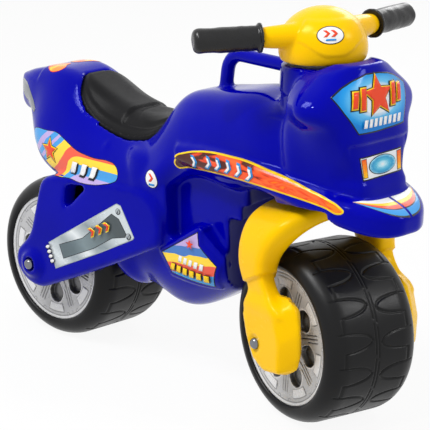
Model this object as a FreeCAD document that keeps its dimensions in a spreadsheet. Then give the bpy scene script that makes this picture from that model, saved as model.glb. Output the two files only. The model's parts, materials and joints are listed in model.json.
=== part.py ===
import FreeCAD, Part
import math
import os
import Sketcher

# Child's ride-on push bike: a hollow blown body on two wide wheels, steered by a blown fork.
# Row frame: +X forward, +Y to the rider's left, +Z up, origin on the ground midway
# between the axles. The bike stands with its handlebar turned a little to the rider's right.

os.makedirs("parts", exist_ok=True)
doc = FreeCAD.newDocument("RideOn")
V = FreeCAD.Vector

# Driving sizes, in millimetres and degrees.
SIZES = {
    # wheels and axles
    "wheel_radius": 110.0,
    "tyre_width": 130.0,
    "tyre_shoulder": 18.0,
    "tyre_wall": 4.5,
    "bead_radius": 86.0,
    "bead_inset": 3.0,
    "rim_thickness": 3.0,
    "rim_dish": 5.0,
    "rim_flange": 9.0,
    "rim_face_ring": 70.0,
    "spoke_hub_radius": 24.0,
    "window_inner": 33.0,
    "window_outer": 64.0,
    "window_half_width": 9.0,
    "window_count": 7,
    "hub_radius": 15.0,
    "hub_tube_wall": 2.5,
    "bush_wall": 3.0,
    "bush_flange": 13.0,
    "bush_flange_thickness": 2.0,
    "bush_reach": 16.0,
    "axle_radius": 5.0,
    "nut_radius": 7.5,
    "nut_height": 7.0,
    "washer_radius": 9.5,
    "washer_thickness": 1.5,
    "fit_gap": 0.05,
    "seat_gap": 0.3,
    "running_gap": 0.4,
    # chassis
    "wheelbase": 445.0,
    "hull_lead": 3.5,
    "nose_reach": 351.0,
    "hull_height": 398.0,
    "hull_half_width": 86.0,
    "shell_wall": 5.0,
    "rear_well_gap": 7.0,
    "arm_inner": 71.0,
    "arm_thickness": 28.0,
    "arm_front_set_in": 20.0,
    "arm_edge": 5.0,
    "arm_end_radius": 34.0,
    "rear_boss_rise": 7.0,
    "rear_boss_radius": 13.5,
    "rear_boss_foot_radius": 27.0,
    "neck_foot_radius": 62.0,
    "neck_top_radius": 51.0,
    "neck_core_radius": 36.0,
    "loop_radius": 9.0,
    "loop_bend": 20.0,
    "loop_foot_place": 38.0,
    "loop_bar_height": 430.0,
    "front_well_radius": 128.0,
    "shoulder_well_radius": 106.0,
    "crown_well_radius": 94.0,
    # steering
    "caster_angle": 2.5,
    "steer_angle": -12.4,
    "stem_radius": 20.0,
    "stem_bore": 15.0,
    "head_bush_wall": 5.0,
    "head_bush_flange": 9.0,
    "head_bush_flange_thickness": 3.0,
    "head_bush_length": 26.0,
    "head_foot": 176.0,
    "head_top": 333.0,
    "crown_top": 172.0,
    "fork_half_width": 105.0,
    "fork_leg_length": 82.0,
    "fork_wall": 4.0,
    "pod_foot": 337.0,
    "pod_height": 64.0,
    "pod_radius": 53.0,
    "turn_clearance": 1.5,
    "socket_depth": 40.0,
    "bar_height": 370.0,
    "bar_lead": 18.0,
    "bar_sweep": 20.5,
    "bar_radius": 10.5,
    "bar_root_radius": 17.0,
    "bar_end_radius": 12.5,
    "bar_root_reach": 30.0,
    "grip_start": 85.0,
    "grip_length": 83.0,
    "grip_radius": 15.5,
    "grip_collar": 3.0,
    "grip_collar_width": 5.0,
    "grip_end_round": 8.0,
    "stem_bolt_radius": 4.0,
    "stem_bolt_head_radius": 7.0,
    "stem_bolt_head_height": 4.0,
    "stem_bolt_height": 352.0,
    "stem_bolt_reach": 28.0,
    "cutter_overrun": 5.0,
}

sheet = doc.addObject("Spreadsheet::Sheet", "Sizes")
for row, (alias, number) in enumerate(SIZES.items(), start=1):
    sheet.set("A%d" % row, alias)
    sheet.set("B%d" % row, str(number))
    sheet.setAlias("B%d" % row, alias)
doc.recompute()


class Length:
    """A size that knows both its number and the formula that ties it to the sheet."""

    def __init__(self, number, formula):
        self.number = float(number)
        self.formula = formula

    def join(self, other, sign, number):
        text = other.formula if isinstance(other, Length) else str(other)
        return Length(number, "(%s %s %s)" % (self.formula, sign, text))

    def __float__(self):
        return self.number

    def __add__(self, other):
        return self.join(other, "+", self.number + float(other))

    def __sub__(self, other):
        return self.join(other, "-", self.number - float(other))

    def __mul__(self, other):
        return self.join(other, "*", self.number * float(other))

    def __truediv__(self, other):
        return self.join(other, "/", self.number / float(other))


class Sheet:
    """Every driving size as an attribute."""


S = Sheet()
N = Sheet()
for alias in SIZES:
    setattr(S, alias, Length(sheet.get(alias), "Sizes." + alias))
    setattr(N, alias, float(sheet.get(alias)))
NOTHING = Length(0, "0")

# Shares of small curves: how far a cap nut's crown curves and rises against its height, and how
# far a window's ends bow.
NUT_CURVE_SHARE = 0.5
NUT_CROWN_SHARE = 1.3
WINDOW_BOW_SHARE = 1.2

pieces = {}


# Places that several pieces share.
front_axle_place = N.wheelbase / 2
tread_half = N.tyre_width / 2 - N.tyre_shoulder
lean = math.radians(N.caster_angle) * math.sin(math.radians(abs(N.steer_angle)))
front_axle_height = N.wheel_radius * math.cos(lean) + tread_half * math.sin(lean)
steering_place = FreeCAD.Placement(
    V(front_axle_place, 0, front_axle_height),
    FreeCAD.Rotation(V(0, 1, 0), -N.caster_angle).multiply(FreeCAD.Rotation(V(0, 0, 1), N.steer_angle)),
)
straight_place = FreeCAD.Placement(
    V(front_axle_place, 0, front_axle_height), FreeCAD.Rotation(V(0, 1, 0), -N.caster_angle)
)
rear_place = FreeCAD.Placement(V(-front_axle_place, 0, N.wheel_radius), FreeCAD.Rotation())
ACROSS = FreeCAD.Rotation(V(0, 0, 1), 90)
UPRIGHT = FreeCAD.Rotation(V(0, 1, 0), -90)


def origin_plane(body, role):
    for feature in body.Origin.OriginFeatures:
        if feature.Role == role:
            return feature
    raise ValueError("no plane " + role)


def pin_along(sketch, kind, axis, element, end, length):
    """Hold one end of a sketch element at a named distance from the origin, on either side of it."""
    if length.number == 0:
        sketch.addConstraint(Sketcher.Constraint("PointOnObject", element, end, axis))
        return
    if length.number > 0:
        held = sketch.addConstraint(Sketcher.Constraint(kind, -1, 1, element, end, length.number))
    else:
        length = length * -1
        held = sketch.addConstraint(Sketcher.Constraint(kind, element, end, -1, 1, length.number))
    sketch.setExpression("Constraints[%d]" % held, length.formula)


def pin_point(sketch, element, end, across, up):
    pin_along(sketch, "DistanceX", -2, element, end, across)
    pin_along(sketch, "DistanceY", -1, element, end, up)


def draw_outline(sketch, points):
    """A closed outline. A point is (across, up), or (across, up, radius, side) where an arc leaves it."""
    ends = []
    for index, point in enumerate(points):
        following = points[(index + 1) % len(points)]
        start = V(point[0].number, point[1].number, 0)
        stop = V(following[0].number, following[1].number, 0)
        if len(point) == 2:
            element = sketch.addGeometry(Part.LineSegment(start, stop), False)
            ends.append((element, 1, 2))
            continue
        radius = point[2].number
        chord = stop - start
        reach = math.sqrt(max(radius**2 - (chord.Length / 2) ** 2, 0))
        left = V(-chord.y, chord.x, 0).normalize()
        centre = (start + stop) * 0.5 + left * (reach * point[3])
        circle = Part.Circle(centre, V(0, 0, 1), radius)
        if point[3] > 0:
            arc = Part.ArcOfCircle(circle, circle.parameter(start), circle.parameter(stop))
            ends.append((sketch.addGeometry(arc, False), 1, 2))
        else:
            arc = Part.ArcOfCircle(circle, circle.parameter(stop), circle.parameter(start))
            ends.append((sketch.addGeometry(arc, False), 2, 1))
    for index, point in enumerate(points):
        element, first, last = ends[index]
        after, after_first, after_last = ends[(index + 1) % len(points)]
        sketch.addConstraint(Sketcher.Constraint("Coincident", element, last, after, after_first))
        pin_point(sketch, element, first, point[0], point[1])
        if len(point) > 2:
            held = sketch.addConstraint(Sketcher.Constraint("Radius", element, point[2].number))
            sketch.setExpression("Constraints[%d]" % held, point[2].formula)


def add_sketch(body, name, role):
    sketch = body.newObject("Sketcher::SketchObject", name)
    sketch.AttachmentSupport = [(origin_plane(body, role), "")]
    sketch.MapMode = "FlatFace"
    return sketch


def turned(name, points, place):
    """A turned piece: its half outline, along the axis and out from it, spun about the X axis."""
    body = doc.addObject("PartDesign::Body", name)
    body.Label = name
    sketch = add_sketch(body, name + "_outline", "XY_Plane")
    draw_outline(sketch, points)
    doc.recompute()
    spin = body.newObject("PartDesign::Revolution", name + "_spin")
    spin.Profile = (sketch, [""])
    spin.ReferenceAxis = (sketch, ["H_Axis"])
    spin.Angle = 360
    sketch.Visibility = False
    body.Placement = place
    doc.recompute()
    pieces[name] = body
    return body


def free_form(name, shape, place=None):
    """A piece whose blown or moulded form is worked out here from the sizes of the sheet."""
    feature = doc.addObject("Part::Feature", name)
    feature.Label = name
    feature.Shape = shape
    if place is not None:
        feature.Placement = place
    pieces[name] = feature
    return feature


def pair(name, first, second):
    """Two like solids, one on each side, that share a node."""
    both = doc.addObject("Part::Compound", name)
    both.Label = name
    both.Links = [first, second]
    doc.recompute()
    del pieces[first.Name]
    del pieces[second.Name]
    pieces[name] = both


def across_place(base, start):
    """A turned piece that starts at this distance along the base's Y axis and runs towards +Y."""
    return base.multiply(FreeCAD.Placement(V(0, start, 0), ACROSS))


# Wheels: a hollow tyre open to its hub, a pressed disc in each bead, a hub tube between the
# discs and a flanged bush in each disc that runs on the steel axle.
def tyre(name, place):
    half = S.tyre_width / 2
    full = S.tyre_width
    bead_out = S.bead_radius + S.tyre_wall
    side = S.wheel_radius - S.tyre_shoulder
    inner_tread = S.wheel_radius - S.tyre_wall
    inner_round = S.tyre_shoulder - S.tyre_wall
    outline = [
        (NOTHING, bead_out),
        (NOTHING, side, S.tyre_shoulder, -1),
        (S.tyre_shoulder, S.wheel_radius),
        (full - S.tyre_shoulder, S.wheel_radius, S.tyre_shoulder, -1),
        (full, side),
        (full, bead_out),
        (full - S.bead_inset, S.bead_radius),
        (full - S.bead_inset - S.rim_flange, S.bead_radius),
        (full - S.bead_inset - S.rim_flange, bead_out),
        (full - S.tyre_wall, bead_out + S.tyre_wall / 2),
        (full - S.tyre_shoulder, inner_tread),
        (S.tyre_shoulder, inner_tread),
        (S.tyre_wall, bead_out + S.tyre_wall / 2),
        (S.bead_inset + S.rim_flange, bead_out),
        (S.bead_inset + S.rim_flange, S.bead_radius),
        (S.bead_inset, S.bead_radius),
    ]
    return turned(name, outline, across_place(place, -half.number))


def rim(name, place, side):
    """One pressed disc: its face looks out, its flange and its hub boss point inwards."""
    face = S.rim_dish
    back = S.rim_dish + S.rim_thickness
    edge = S.bead_radius - S.fit_gap
    hole = S.axle_radius + S.bush_wall + S.fit_gap * 2
    outline = [
        (face, hole),
        (face, S.spoke_hub_radius),
        (face, S.rim_face_ring),
        (NOTHING, edge - S.rim_thickness),
        (NOTHING, edge),
        (S.rim_flange, edge),
        (S.rim_flange, edge - S.rim_thickness),
        (back, S.rim_face_ring),
        (back, S.hub_radius),
        (S.bush_reach + back, S.hub_radius),
        (S.bush_reach + back, hole),
    ]
    start = side * (N.tyre_width / 2 - N.bead_inset)
    turn = ACROSS if side < 0 else FreeCAD.Rotation(V(0, 0, 1), -90)
    body = turned(name, outline, place.multiply(FreeCAD.Placement(V(0, start, 0), turn)))
    windows = add_sketch(body, name + "_window", "YZ_Plane")
    wide = S.window_half_width
    slim = S.window_half_width / 2
    draw_outline(
        windows,
        [
            (wide * -1, S.window_outer),
            (slim * -1, S.window_inner, slim * WINDOW_BOW_SHARE, 1),
            (slim, S.window_inner),
            (wide, S.window_outer, wide * WINDOW_BOW_SHARE, 1),
        ],
    )
    doc.recompute()
    before = body.Shape.Volume
    cut = body.newObject("PartDesign::Pocket", name + "_cut")
    cut.Profile = windows
    cut.Type = "ThroughAll"
    cut.Midplane = True
    doc.recompute()
    ring = body.newObject("PartDesign::PolarPattern", name + "_windows")
    ring.Originals = [cut]
    for feature in body.Origin.OriginFeatures:
        if feature.Role == "X_Axis":
            ring.Axis = (feature, [""])
    ring.Angle = 360
    ring.Occurrences = int(N.window_count)
    ring.setExpression("Occurrences", "Sizes.window_count")
    body.Tip = ring
    doc.recompute()
    if body.Shape.Volume >= before:
        raise ValueError(name + " has no windows")
    return body


def ring_outline(start, length, inner, outer):
    return [(start, inner), (start, outer), (start + length, outer), (start + length, inner)]


def bush(name, place, side):
    """A flanged bush: the flange sits on the disc's face and the barrel runs through its boss."""
    inner = S.axle_radius + S.fit_gap
    outer = S.axle_radius + S.bush_wall
    flange = S.bush_flange_thickness
    outline = [
        (NOTHING, inner),
        (NOTHING, S.bush_flange),
        (flange, S.bush_flange),
        (flange, outer),
        (flange + S.bush_reach, outer),
        (flange + S.bush_reach, inner),
    ]
    face = N.tyre_width / 2 - N.bead_inset - N.rim_dish + N.bush_flange_thickness
    turn = ACROSS if side < 0 else FreeCAD.Rotation(V(0, 0, 1), -90)
    return turned(name, outline, place.multiply(FreeCAD.Placement(V(0, side * face, 0), turn)))


def hub_tube(name, place):
    reach = S.tyre_width / 2 - S.bead_inset - S.rim_dish - S.rim_thickness
    inner = S.hub_radius + S.fit_gap
    outline = ring_outline(NOTHING, reach * 2, inner, inner + S.hub_tube_wall)
    return turned(name, outline, across_place(place, -reach.number))


def axle(name, place, half_length):
    outline = [
        (NOTHING, NOTHING),
        (NOTHING, S.axle_radius),
        (half_length * 2, S.axle_radius),
        (half_length * 2, NOTHING),
    ]
    return turned(name, outline, across_place(place, -half_length.number))


def on_both_ends(name, outline, place, face):
    """The same turned piece at each end of an axle, starting on the face and running outwards."""
    ends = []
    for word, side in (("left", 1), ("right", -1)):
        turn = ACROSS if side > 0 else FreeCAD.Rotation(V(0, 0, 1), -90)
        at = place.multiply(FreeCAD.Placement(V(0, side * face, 0), turn))
        ends.append(turned(name + "_" + word, outline, at))
    pair(name, ends[0], ends[1])


def axle_nuts(name, place, face):
    """A domed cap nut on each end of an axle: a bore for the axle's end and a rounded crown."""
    outline = [
        (NOTHING, S.axle_radius),
        (NOTHING, S.nut_radius),
        (S.nut_height * NUT_CURVE_SHARE, S.nut_radius, S.nut_height, -1),
        (S.nut_height * NUT_CROWN_SHARE, S.nut_radius * NUT_CURVE_SHARE),
        (S.nut_height * NUT_CROWN_SHARE, NOTHING),
        (S.nut_height, NOTHING),
        (S.nut_height, S.axle_radius),
    ]
    on_both_ends(name, outline, place, face)


def axle_washers(name, place, face):
    outline = ring_outline(NOTHING, S.washer_thickness, S.axle_radius, S.washer_radius)
    on_both_ends(name, outline, place, face)


def wheel(prefix, place):
    tyre(prefix + "_tyre", place)
    rim(prefix + "_rim_left", place, 1)
    rim(prefix + "_rim_right", place, -1)
    bush(prefix + "_bush_left", place, 1)
    bush(prefix + "_bush_right", place, -1)
    hub_tube(prefix + "_hub_tube", place)


def axle_set(prefix, place, outer_face):
    """The axle reaches into a cap nut on each side, over a washer on the recessed outer face."""
    seat = outer_face + S.washer_thickness
    axle(prefix + "_axle", place, seat + S.nut_height)
    axle_washers(prefix + "_axle_washers", place, outer_face.number)
    axle_nuts(prefix + "_axle_nuts", place, seat.number)


wheel("rear", rear_place)
wheel("front", steering_place)
rear_face = S.arm_inner + S.arm_thickness + S.rear_boss_rise - S.nut_height
axle_set("rear", rear_place, rear_face)
front_face = S.fork_half_width - S.nut_height
axle_set("front", steering_place, front_face)


# Blown forms: rounded rings of points, lofted one to the next.
def rounded_ring(points, share):
    """A closed ring through these corners, each rounded by an arc that takes a share of its shorter side."""
    edges = []
    joins = []
    count = len(points)
    for index, corner in enumerate(points):
        back = points[index - 1] - corner
        ahead = points[(index + 1) % count] - corner
        reach = min(back.Length, ahead.Length) * share
        back.normalize()
        ahead.normalize()
        inward = back + ahead
        inward.normalize()
        half_angle = back.getAngle(ahead) / 2
        centre = corner + inward * (reach / math.cos(half_angle))
        middle = centre - inward * (reach * math.tan(half_angle))
        joins.append((corner + back * reach, middle, corner + ahead * reach))
    for index, (start, middle, stop) in enumerate(joins):
        edges.append(Part.Arc(start, middle, stop).toShape())
        edges.append(Part.LineSegment(stop, joins[(index + 1) % count][0]).toShape())
    return Part.Wire(edges)


def inset(points, depth):
    """The same flat ring of (u, v) corners with every side moved inwards by the wall."""
    count = len(points)
    following = points[1:] + points[:1]
    area = sum(ax * by - bx * ay for (ax, ay), (bx, by) in zip(points, following))
    turn = 1 if area > 0 else -1
    moved = []
    for index in range(count):
        (ax, ay), (bx, by), (cx, cy) = points[index - 1], points[index], points[(index + 1) % count]
        first = math.hypot(bx - ax, by - ay)
        second = math.hypot(cx - bx, cy - by)
        one = (-(by - ay) / first * turn, (bx - ax) / first * turn)
        two = (-(cy - by) / second * turn, (cx - bx) / second * turn)
        spread = 1 + one[0] * two[0] + one[1] * two[1]
        moved.append((bx + depth * (one[0] + two[0]) / spread, by + depth * (one[1] + two[1]) / spread))
    return moved


def mirrored(half):
    """A ring of (y, z) corners from its right half, listed from the top down."""
    return [(y, z) for y, z in half] + [(-y, z) for y, z in reversed(half)]


def loft_along_x(stations, share, wall=0, ruled=False):
    """A solid through rings that stand across the X axis, or its hollow when a wall is given."""
    rings = []
    last = len(stations) - 1
    for index, (place, half) in enumerate(stations):
        corners = mirrored(half)
        if wall:
            corners = inset(corners, wall)
            place += wall if index == 0 else -wall if index == last else 0
        rings.append(rounded_ring([V(place, y, z) for y, z in corners], share))
    return Part.makeLoft(rings, True, ruled)


def loft_along_z(stations, share, wall=0):
    """A solid through level rings of (x, y) corners, or its hollow when a wall is given."""
    rings = []
    last = len(stations) - 1
    for index, (height, half) in enumerate(stations):
        corners = mirrored([(y, x) for x, y in half])
        if wall:
            corners = inset(corners, wall)
            height += wall if index == 0 else -wall if index == last else 0
        rings.append(rounded_ring([V(x, y, height) for y, x in corners], share))
    return Part.makeLoft(rings, True)


reach = N.nose_reach
high = N.hull_height
wide = N.hull_half_width


def along(share):
    """A place along the body, from its share of the nose reach."""
    return share * reach + N.hull_lead


def hull_stations(shares):
    return [(along(x), [(y * wide, z * high) for y, z in half]) for x, half in shares]


# Tail, seat, tank and neck root. Each station: place along the bike, then the corners of its
# right half from the top down, as shares of the nose reach, the half width and the height.
HULL_SHARES = [
    (-0.926, [(0.200, 0.875), (0.290, 0.862), (0.290, 0.825), (0.190, 0.815)]),
    (-0.890, [(0.300, 0.890), (0.420, 0.872), (0.440, 0.790), (0.300, 0.745)]),
    (-0.829, [(0.370, 0.906), (0.500, 0.880), (0.558, 0.799), (0.419, 0.739)]),
    (-0.769, [(0.400, 0.917), (0.535, 0.884), (0.698, 0.744), (0.581, 0.656)]),
    (-0.698, [(0.420, 0.926), (0.581, 0.880), (0.884, 0.719), (0.744, 0.601)]),
    (-0.604, [(0.400, 0.918), (0.628, 0.862), (0.965, 0.704), (0.837, 0.573)]),
    (-0.484, [(0.370, 0.874), (0.674, 0.808), (1.000, 0.683), (0.884, 0.565)]),
    (-0.328, [(0.326, 0.832), (0.721, 0.755), (0.988, 0.663), (0.884, 0.565)]),
    (-0.171, [(0.302, 0.822), (0.698, 0.755), (0.953, 0.658), (0.860, 0.570)]),
    (-0.097, [(0.326, 0.850), (0.721, 0.775), (0.930, 0.663), (0.837, 0.590)]),
    (-0.017, [(0.395, 0.927), (0.744, 0.836), (0.930, 0.688), (0.814, 0.625)]),
    (0.057, [(0.442, 0.958), (0.791, 0.867), (0.885, 0.740), (0.740, 0.680)]),
    (0.199, [(0.488, 0.980), (0.830, 0.879), (0.890, 0.750), (0.670, 0.700)]),
    (0.370, [(0.535, 1.000), (0.840, 0.884), (0.880, 0.750), (0.620, 0.700)]),
    (0.541, [(0.535, 1.010), (0.790, 0.884), (0.820, 0.740), (0.550, 0.695)]),
    (0.670, [(0.442, 0.995), (0.650, 0.879), (0.690, 0.735), (0.480, 0.690)]),
]

# Column under the seat, engine block with its sunk channel, and belly.
ENGINE_SHARES = [
    (-0.319, [(0.814, 0.754), (0.884, 0.653), (0.884, 0.503), (0.767, 0.377), (0.465, 0.325)]),
    (-0.171, [(0.814, 0.754), (0.907, 0.658), (0.884, 0.503), (0.698, 0.335), (0.395, 0.270)]),
    (-0.028, [(0.800, 0.754), (0.860, 0.658), (0.800, 0.515), (0.698, 0.325), (0.349, 0.229)]),
    (0.085, [(0.767, 0.754), (0.800, 0.648), (0.779, 0.523), (0.744, 0.345), (0.349, 0.244)]),
    (0.199, [(0.740, 0.754), (0.779, 0.640), (0.767, 0.515), (0.744, 0.375), (0.349, 0.300)]),
    (0.276, [(0.700, 0.754), (0.720, 0.640), (0.698, 0.503), (0.674, 0.395), (0.326, 0.345)]),
    (0.348, [(0.640, 0.754), (0.620, 0.650), (0.550, 0.568), (0.480, 0.503), (0.279, 0.467)]),
    (0.456, [(0.560, 0.754), (0.500, 0.678), (0.420, 0.632), (0.340, 0.595), (0.233, 0.573)]),
]

# Sunk channel between the column, the ledge and the raised engine panel, in the side view.
CHANNEL_SHARES = [
    (0.011, 0.745),
    (0.017, 0.467),
    (0.171, 0.558),
    (0.296, 0.457),
    (0.427, 0.503),
    (0.520, 0.745),
]
CHANNEL_FLOOR_SHARE = 0.54

# Side ledge that runs forward into the beak.
LEDGE_SHARES = [
    (0.085, [(0.760, 0.816), (0.950, 0.806), (0.950, 0.760), (0.640, 0.757)]),
    (0.342, [(0.800, 0.839), (1.000, 0.816), (1.000, 0.748), (0.660, 0.742)]),
    (0.570, [(0.760, 0.820), (0.965, 0.793), (0.965, 0.728), (0.640, 0.724)]),
    (0.741, [(0.660, 0.787), (0.845, 0.766), (0.845, 0.692), (0.560, 0.684)]),
    (0.869, [(0.560, 0.758), (0.721, 0.739), (0.721, 0.671), (0.480, 0.660)]),
    (0.954, [(0.349, 0.736), (0.477, 0.719), (0.477, 0.658), (0.326, 0.649)]),
    (1.000, [(0.116, 0.709), (0.163, 0.704), (0.163, 0.671), (0.105, 0.663)]),
]

# Cowl with the lamp box under it: level rings of (x, y) corners from the front to the back.
COWL_SHARES = [
    (0.734, [(0.886, 0.285), (0.872, 0.450), (0.769, 0.605), (0.541, 0.837)]),
    (0.784, [(0.880, 0.325), (0.871, 0.500), (0.769, 0.660), (0.541, 0.884)]),
    (0.854, [(0.869, 0.350), (0.858, 0.560), (0.758, 0.710), (0.541, 0.884)]),
    (0.910, [(0.860, 0.380), (0.846, 0.655), (0.746, 0.810), (0.541, 0.860)]),
    (0.965, [(0.849, 0.419), (0.818, 0.791), (0.735, 0.953), (0.556, 0.837)]),
    (1.015, [(0.843, 0.442), (0.786, 1.000), (0.712, 1.128), (0.570, 0.767)]),
    (1.065, [(0.829, 0.395), (0.775, 0.860), (0.695, 0.953), (0.584, 0.698)]),
    (1.106, [(0.815, 0.290), (0.769, 0.620), (0.701, 0.680), (0.610, 0.540)]),
    (1.140, [(0.800, 0.170), (0.772, 0.350), (0.712, 0.380), (0.650, 0.300)]),
]

# Seat pad, longer than wide, with a crown across it and a low nose in front.
SEAT_SHARES = [
    (-0.590, [(0.150, 0.922), (0.230, 0.910), (0.230, 0.868), (0.150, 0.850)]),
    (-0.548, [(0.300, 0.912), (0.445, 0.880), (0.455, 0.842), (0.330, 0.824)]),
    (-0.490, [(0.349, 0.892), (0.570, 0.840), (0.580, 0.805), (0.410, 0.792)]),
    (-0.400, [(0.349, 0.864), (0.605, 0.797), (0.617, 0.767), (0.440, 0.760)]),
    (-0.328, [(0.349, 0.850), (0.610, 0.782), (0.622, 0.752), (0.450, 0.748)]),
    (-0.240, [(0.349, 0.840), (0.604, 0.778), (0.616, 0.749), (0.450, 0.745)]),
    (-0.140, [(0.302, 0.844), (0.578, 0.798), (0.590, 0.764), (0.395, 0.758)]),
    (-0.060, [(0.209, 0.838), (0.395, 0.812), (0.395, 0.786), (0.250, 0.778)]),
]

# Swing arm outline in the side view, as (x, z): the rounded end is set apart, round the axle.
ARM_SHARES = [
    (-0.602, 0.585),
    (-0.513, 0.610),
    (-0.300, 0.625),
    (-0.080, 0.632),
    (0.000, 0.580),
    (0.012, 0.500),
    (0.000, 0.452),
    (-0.356, 0.294),
]
# The end of the arm, as (x, z) from the axle in shares of the end's radius.
ARM_END_SHARES = [(0.30, -1.00), (-0.50, -0.80), (-1.00, -0.20), (-0.95, 0.40), (-0.20, 1.15)]
ARM_GAP_SHARES = [(-0.470, 0.582), (-0.352, 0.596), (-0.476, 0.495)]
ROUND_SHARE = 0.42
GAP_ROUND_SHARE = 0.25
SHARP_SHARE = 0.01

# Where the carrying loop springs from the tank, as a share of the hull's height, then how far
# below the axle the steering's room starts, as a share of the wheel's radius, and where it
# narrows, as shares of the crown's top.
LOOP_FOOT_SHARE = 0.9
WELL_FOOT_SHARE = 1.5
WELL_TOP_SHARES = (0.74, 0.86, 1.00)


def cylinder_across(place, radius, half_length):
    base = place.multVec(V(0, -half_length, 0))
    return Part.makeCylinder(radius, half_length * 2, base, place.Rotation.multVec(V(0, 1, 0)))


def cylinder_up(place, radius, low, top):
    base = place.multVec(V(0, 0, low))
    return Part.makeCylinder(radius, top - low, base, place.Rotation.multVec(V(0, 0, 1)))


def fuse_all(shapes):
    return shapes[0].multiFuse(shapes[1:])


def fuse_in_turn(shapes):
    whole = shapes[0]
    for shape in shapes[1:]:
        whole = whole.fuse(shape)
    return whole


def cut_in_turn(whole, cutters):
    for cutter in cutters:
        whole = whole.cut(cutter)
    return whole


def swing_arm(side):
    """One blown arm beside the rear wheel, with its end round the axle and its small open gap."""
    end = V(-front_axle_place, 0, N.wheel_radius)
    corners = [(along(x), z * high) for x, z in ARM_SHARES]
    far = N.arm_end_radius
    corners = corners + [(end.x + far * x, end.z + far * z) for x, z in ARM_END_SHARES]
    inner = N.arm_inner
    outer = inner + N.arm_thickness
    levels = [(inner, 0, 0), (outer - N.arm_edge, 0, 1), (outer, N.arm_edge, 1)]
    lean_in = N.arm_front_set_in / front_axle_place
    rings = []
    for y, depth, leans in levels:
        flat = inset(corners, depth) if depth else corners
        ring = [V(x, side * (y - leans * lean_in * (x - end.x)), z) for x, z in flat]
        rings.append(rounded_ring(ring, ROUND_SHARE))
    arm = Part.makeLoft(rings, True, True)
    start = side * (inner - N.cutter_overrun)
    gap = rounded_ring([V(along(x), start, z * high) for x, z in ARM_GAP_SHARES], GAP_ROUND_SHARE)
    hole = Part.Face(gap).extrude(V(0, side * (N.arm_thickness + 2 * N.cutter_overrun), 0))
    return arm.cut(hole)


def rear_boss(side):
    """The sloping boss on an arm's end that the washer and the nut sit in."""
    foot = N.arm_inner + N.arm_thickness - N.arm_edge
    start = V(-front_axle_place, side * foot, N.wheel_radius)
    rise = N.rear_boss_rise + N.arm_edge
    return Part.makeCone(N.rear_boss_foot_radius, N.rear_boss_radius, rise, start, V(0, side, 0))


def carry_loop():
    """The carrying loop between the tank and the neck: a bent tube."""
    foot = V(N.hull_lead + N.loop_foot_place, 0, high * LOOP_FOOT_SHARE)
    knee = V(foot.x + N.loop_radius, 0, N.loop_bar_height)
    neck = V(front_axle_place - N.neck_core_radius, 0, N.loop_bar_height)
    up = (knee - foot).normalize()
    ahead = (neck - knee).normalize()
    start = knee - up * N.loop_bend
    stop = knee + ahead * N.loop_bend
    middle = knee + (ahead - up).normalize() * (N.loop_bend * (math.sqrt(2) - 1))
    path = Part.Wire([
        Part.LineSegment(foot, start).toShape(),
        Part.Arc(start, middle, stop).toShape(),
        Part.LineSegment(stop, neck).toShape(),
    ])
    ring = Part.Wire([Part.Circle(foot, up, N.loop_radius).toShape()])
    return path.makePipeShell([ring], True, True)


def wells(extra):
    """What must stay clear of the body: the rear wheel, and all that the steering sweeps."""
    low = -N.wheel_radius * WELL_FOOT_SHARE
    half = N.arm_inner - extra
    rear = cylinder_across(rear_place, N.wheel_radius + N.rear_well_gap + extra, half)
    tops = [N.crown_top * share for share in WELL_TOP_SHARES]
    radii = (N.front_well_radius, N.shoulder_well_radius, N.crown_well_radius)
    fronts = [cylinder_up(straight_place, r + extra, low, z + extra) for r, z in zip(radii, tops)]
    return fuse_all([rear] + fronts)


hull = loft_along_x(hull_stations(HULL_SHARES), ROUND_SHARE)
engine = loft_along_x(hull_stations(ENGINE_SHARES), ROUND_SHARE)
ledge = loft_along_x(hull_stations(LEDGE_SHARES), ROUND_SHARE)
cowl_rings = [(z * high, [(along(x), y * wide) for x, y in half]) for z, half in COWL_SHARES]
cowl = loft_along_z(cowl_rings, ROUND_SHARE)
neck_base = straight_place.multVec(V(0, 0, N.head_foot))
neck_axis = straight_place.Rotation.multVec(V(0, 0, 1))
neck = Part.makeCone(N.neck_foot_radius, N.neck_top_radius, N.head_top - N.head_foot, neck_base, neck_axis)
pad = loft_along_x(hull_stations(SEAT_SHARES), ROUND_SHARE)
recess = loft_along_x(hull_stations(SEAT_SHARES), ROUND_SHARE, -N.seat_gap)
arms = [swing_arm(1), swing_arm(-1)]
floor_y = CHANNEL_FLOOR_SHARE * wide
channels = []
for side in (1, -1):
    corners = [V(along(x), side * floor_y, z * high) for x, z in CHANNEL_SHARES]
    channels.append(Part.Face(rounded_ring(corners, ROUND_SHARE / 2)).extrude(V(0, side * wide, 0)))
engine = engine.cut(fuse_all(channels))
bosses = [rear_boss(1), rear_boss(-1)]
outer = fuse_in_turn([hull, ledge, cowl, neck, engine] + arms + bosses + [carry_loop()])

# The hollow inside the skin, kept clear of the wells, the head bore and the seat.
wall = N.shell_wall
engine_hollow = loft_along_x(hull_stations(ENGINE_SHARES), ROUND_SHARE, wall)
channel_backs = []
for side in (1, -1):
    grown = inset([(along(x), z * high) for x, z in CHANNEL_SHARES], -wall)
    corners = [V(x, side * (floor_y - wall), z) for x, z in grown]
    channel_backs.append(Part.Face(rounded_ring(corners, SHARP_SHARE)).extrude(V(0, side * wide, 0)))
neck_hollow = Part.makeCone(
    N.neck_foot_radius - wall,
    N.neck_top_radius - wall,
    N.head_top - N.head_foot - wall * 2,
    straight_place.multVec(V(0, 0, N.head_foot + wall)),
    neck_axis,
)
hollows = [
    loft_along_x(hull_stations(HULL_SHARES[1:]), ROUND_SHARE, wall, True),
    engine_hollow.cut(fuse_all(channel_backs)),
    loft_along_z(cowl_rings[1:-1], ROUND_SHARE, wall),
    loft_along_x(hull_stations(LEDGE_SHARES[:-1]), ROUND_SHARE, wall),
    neck_hollow,
]
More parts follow.
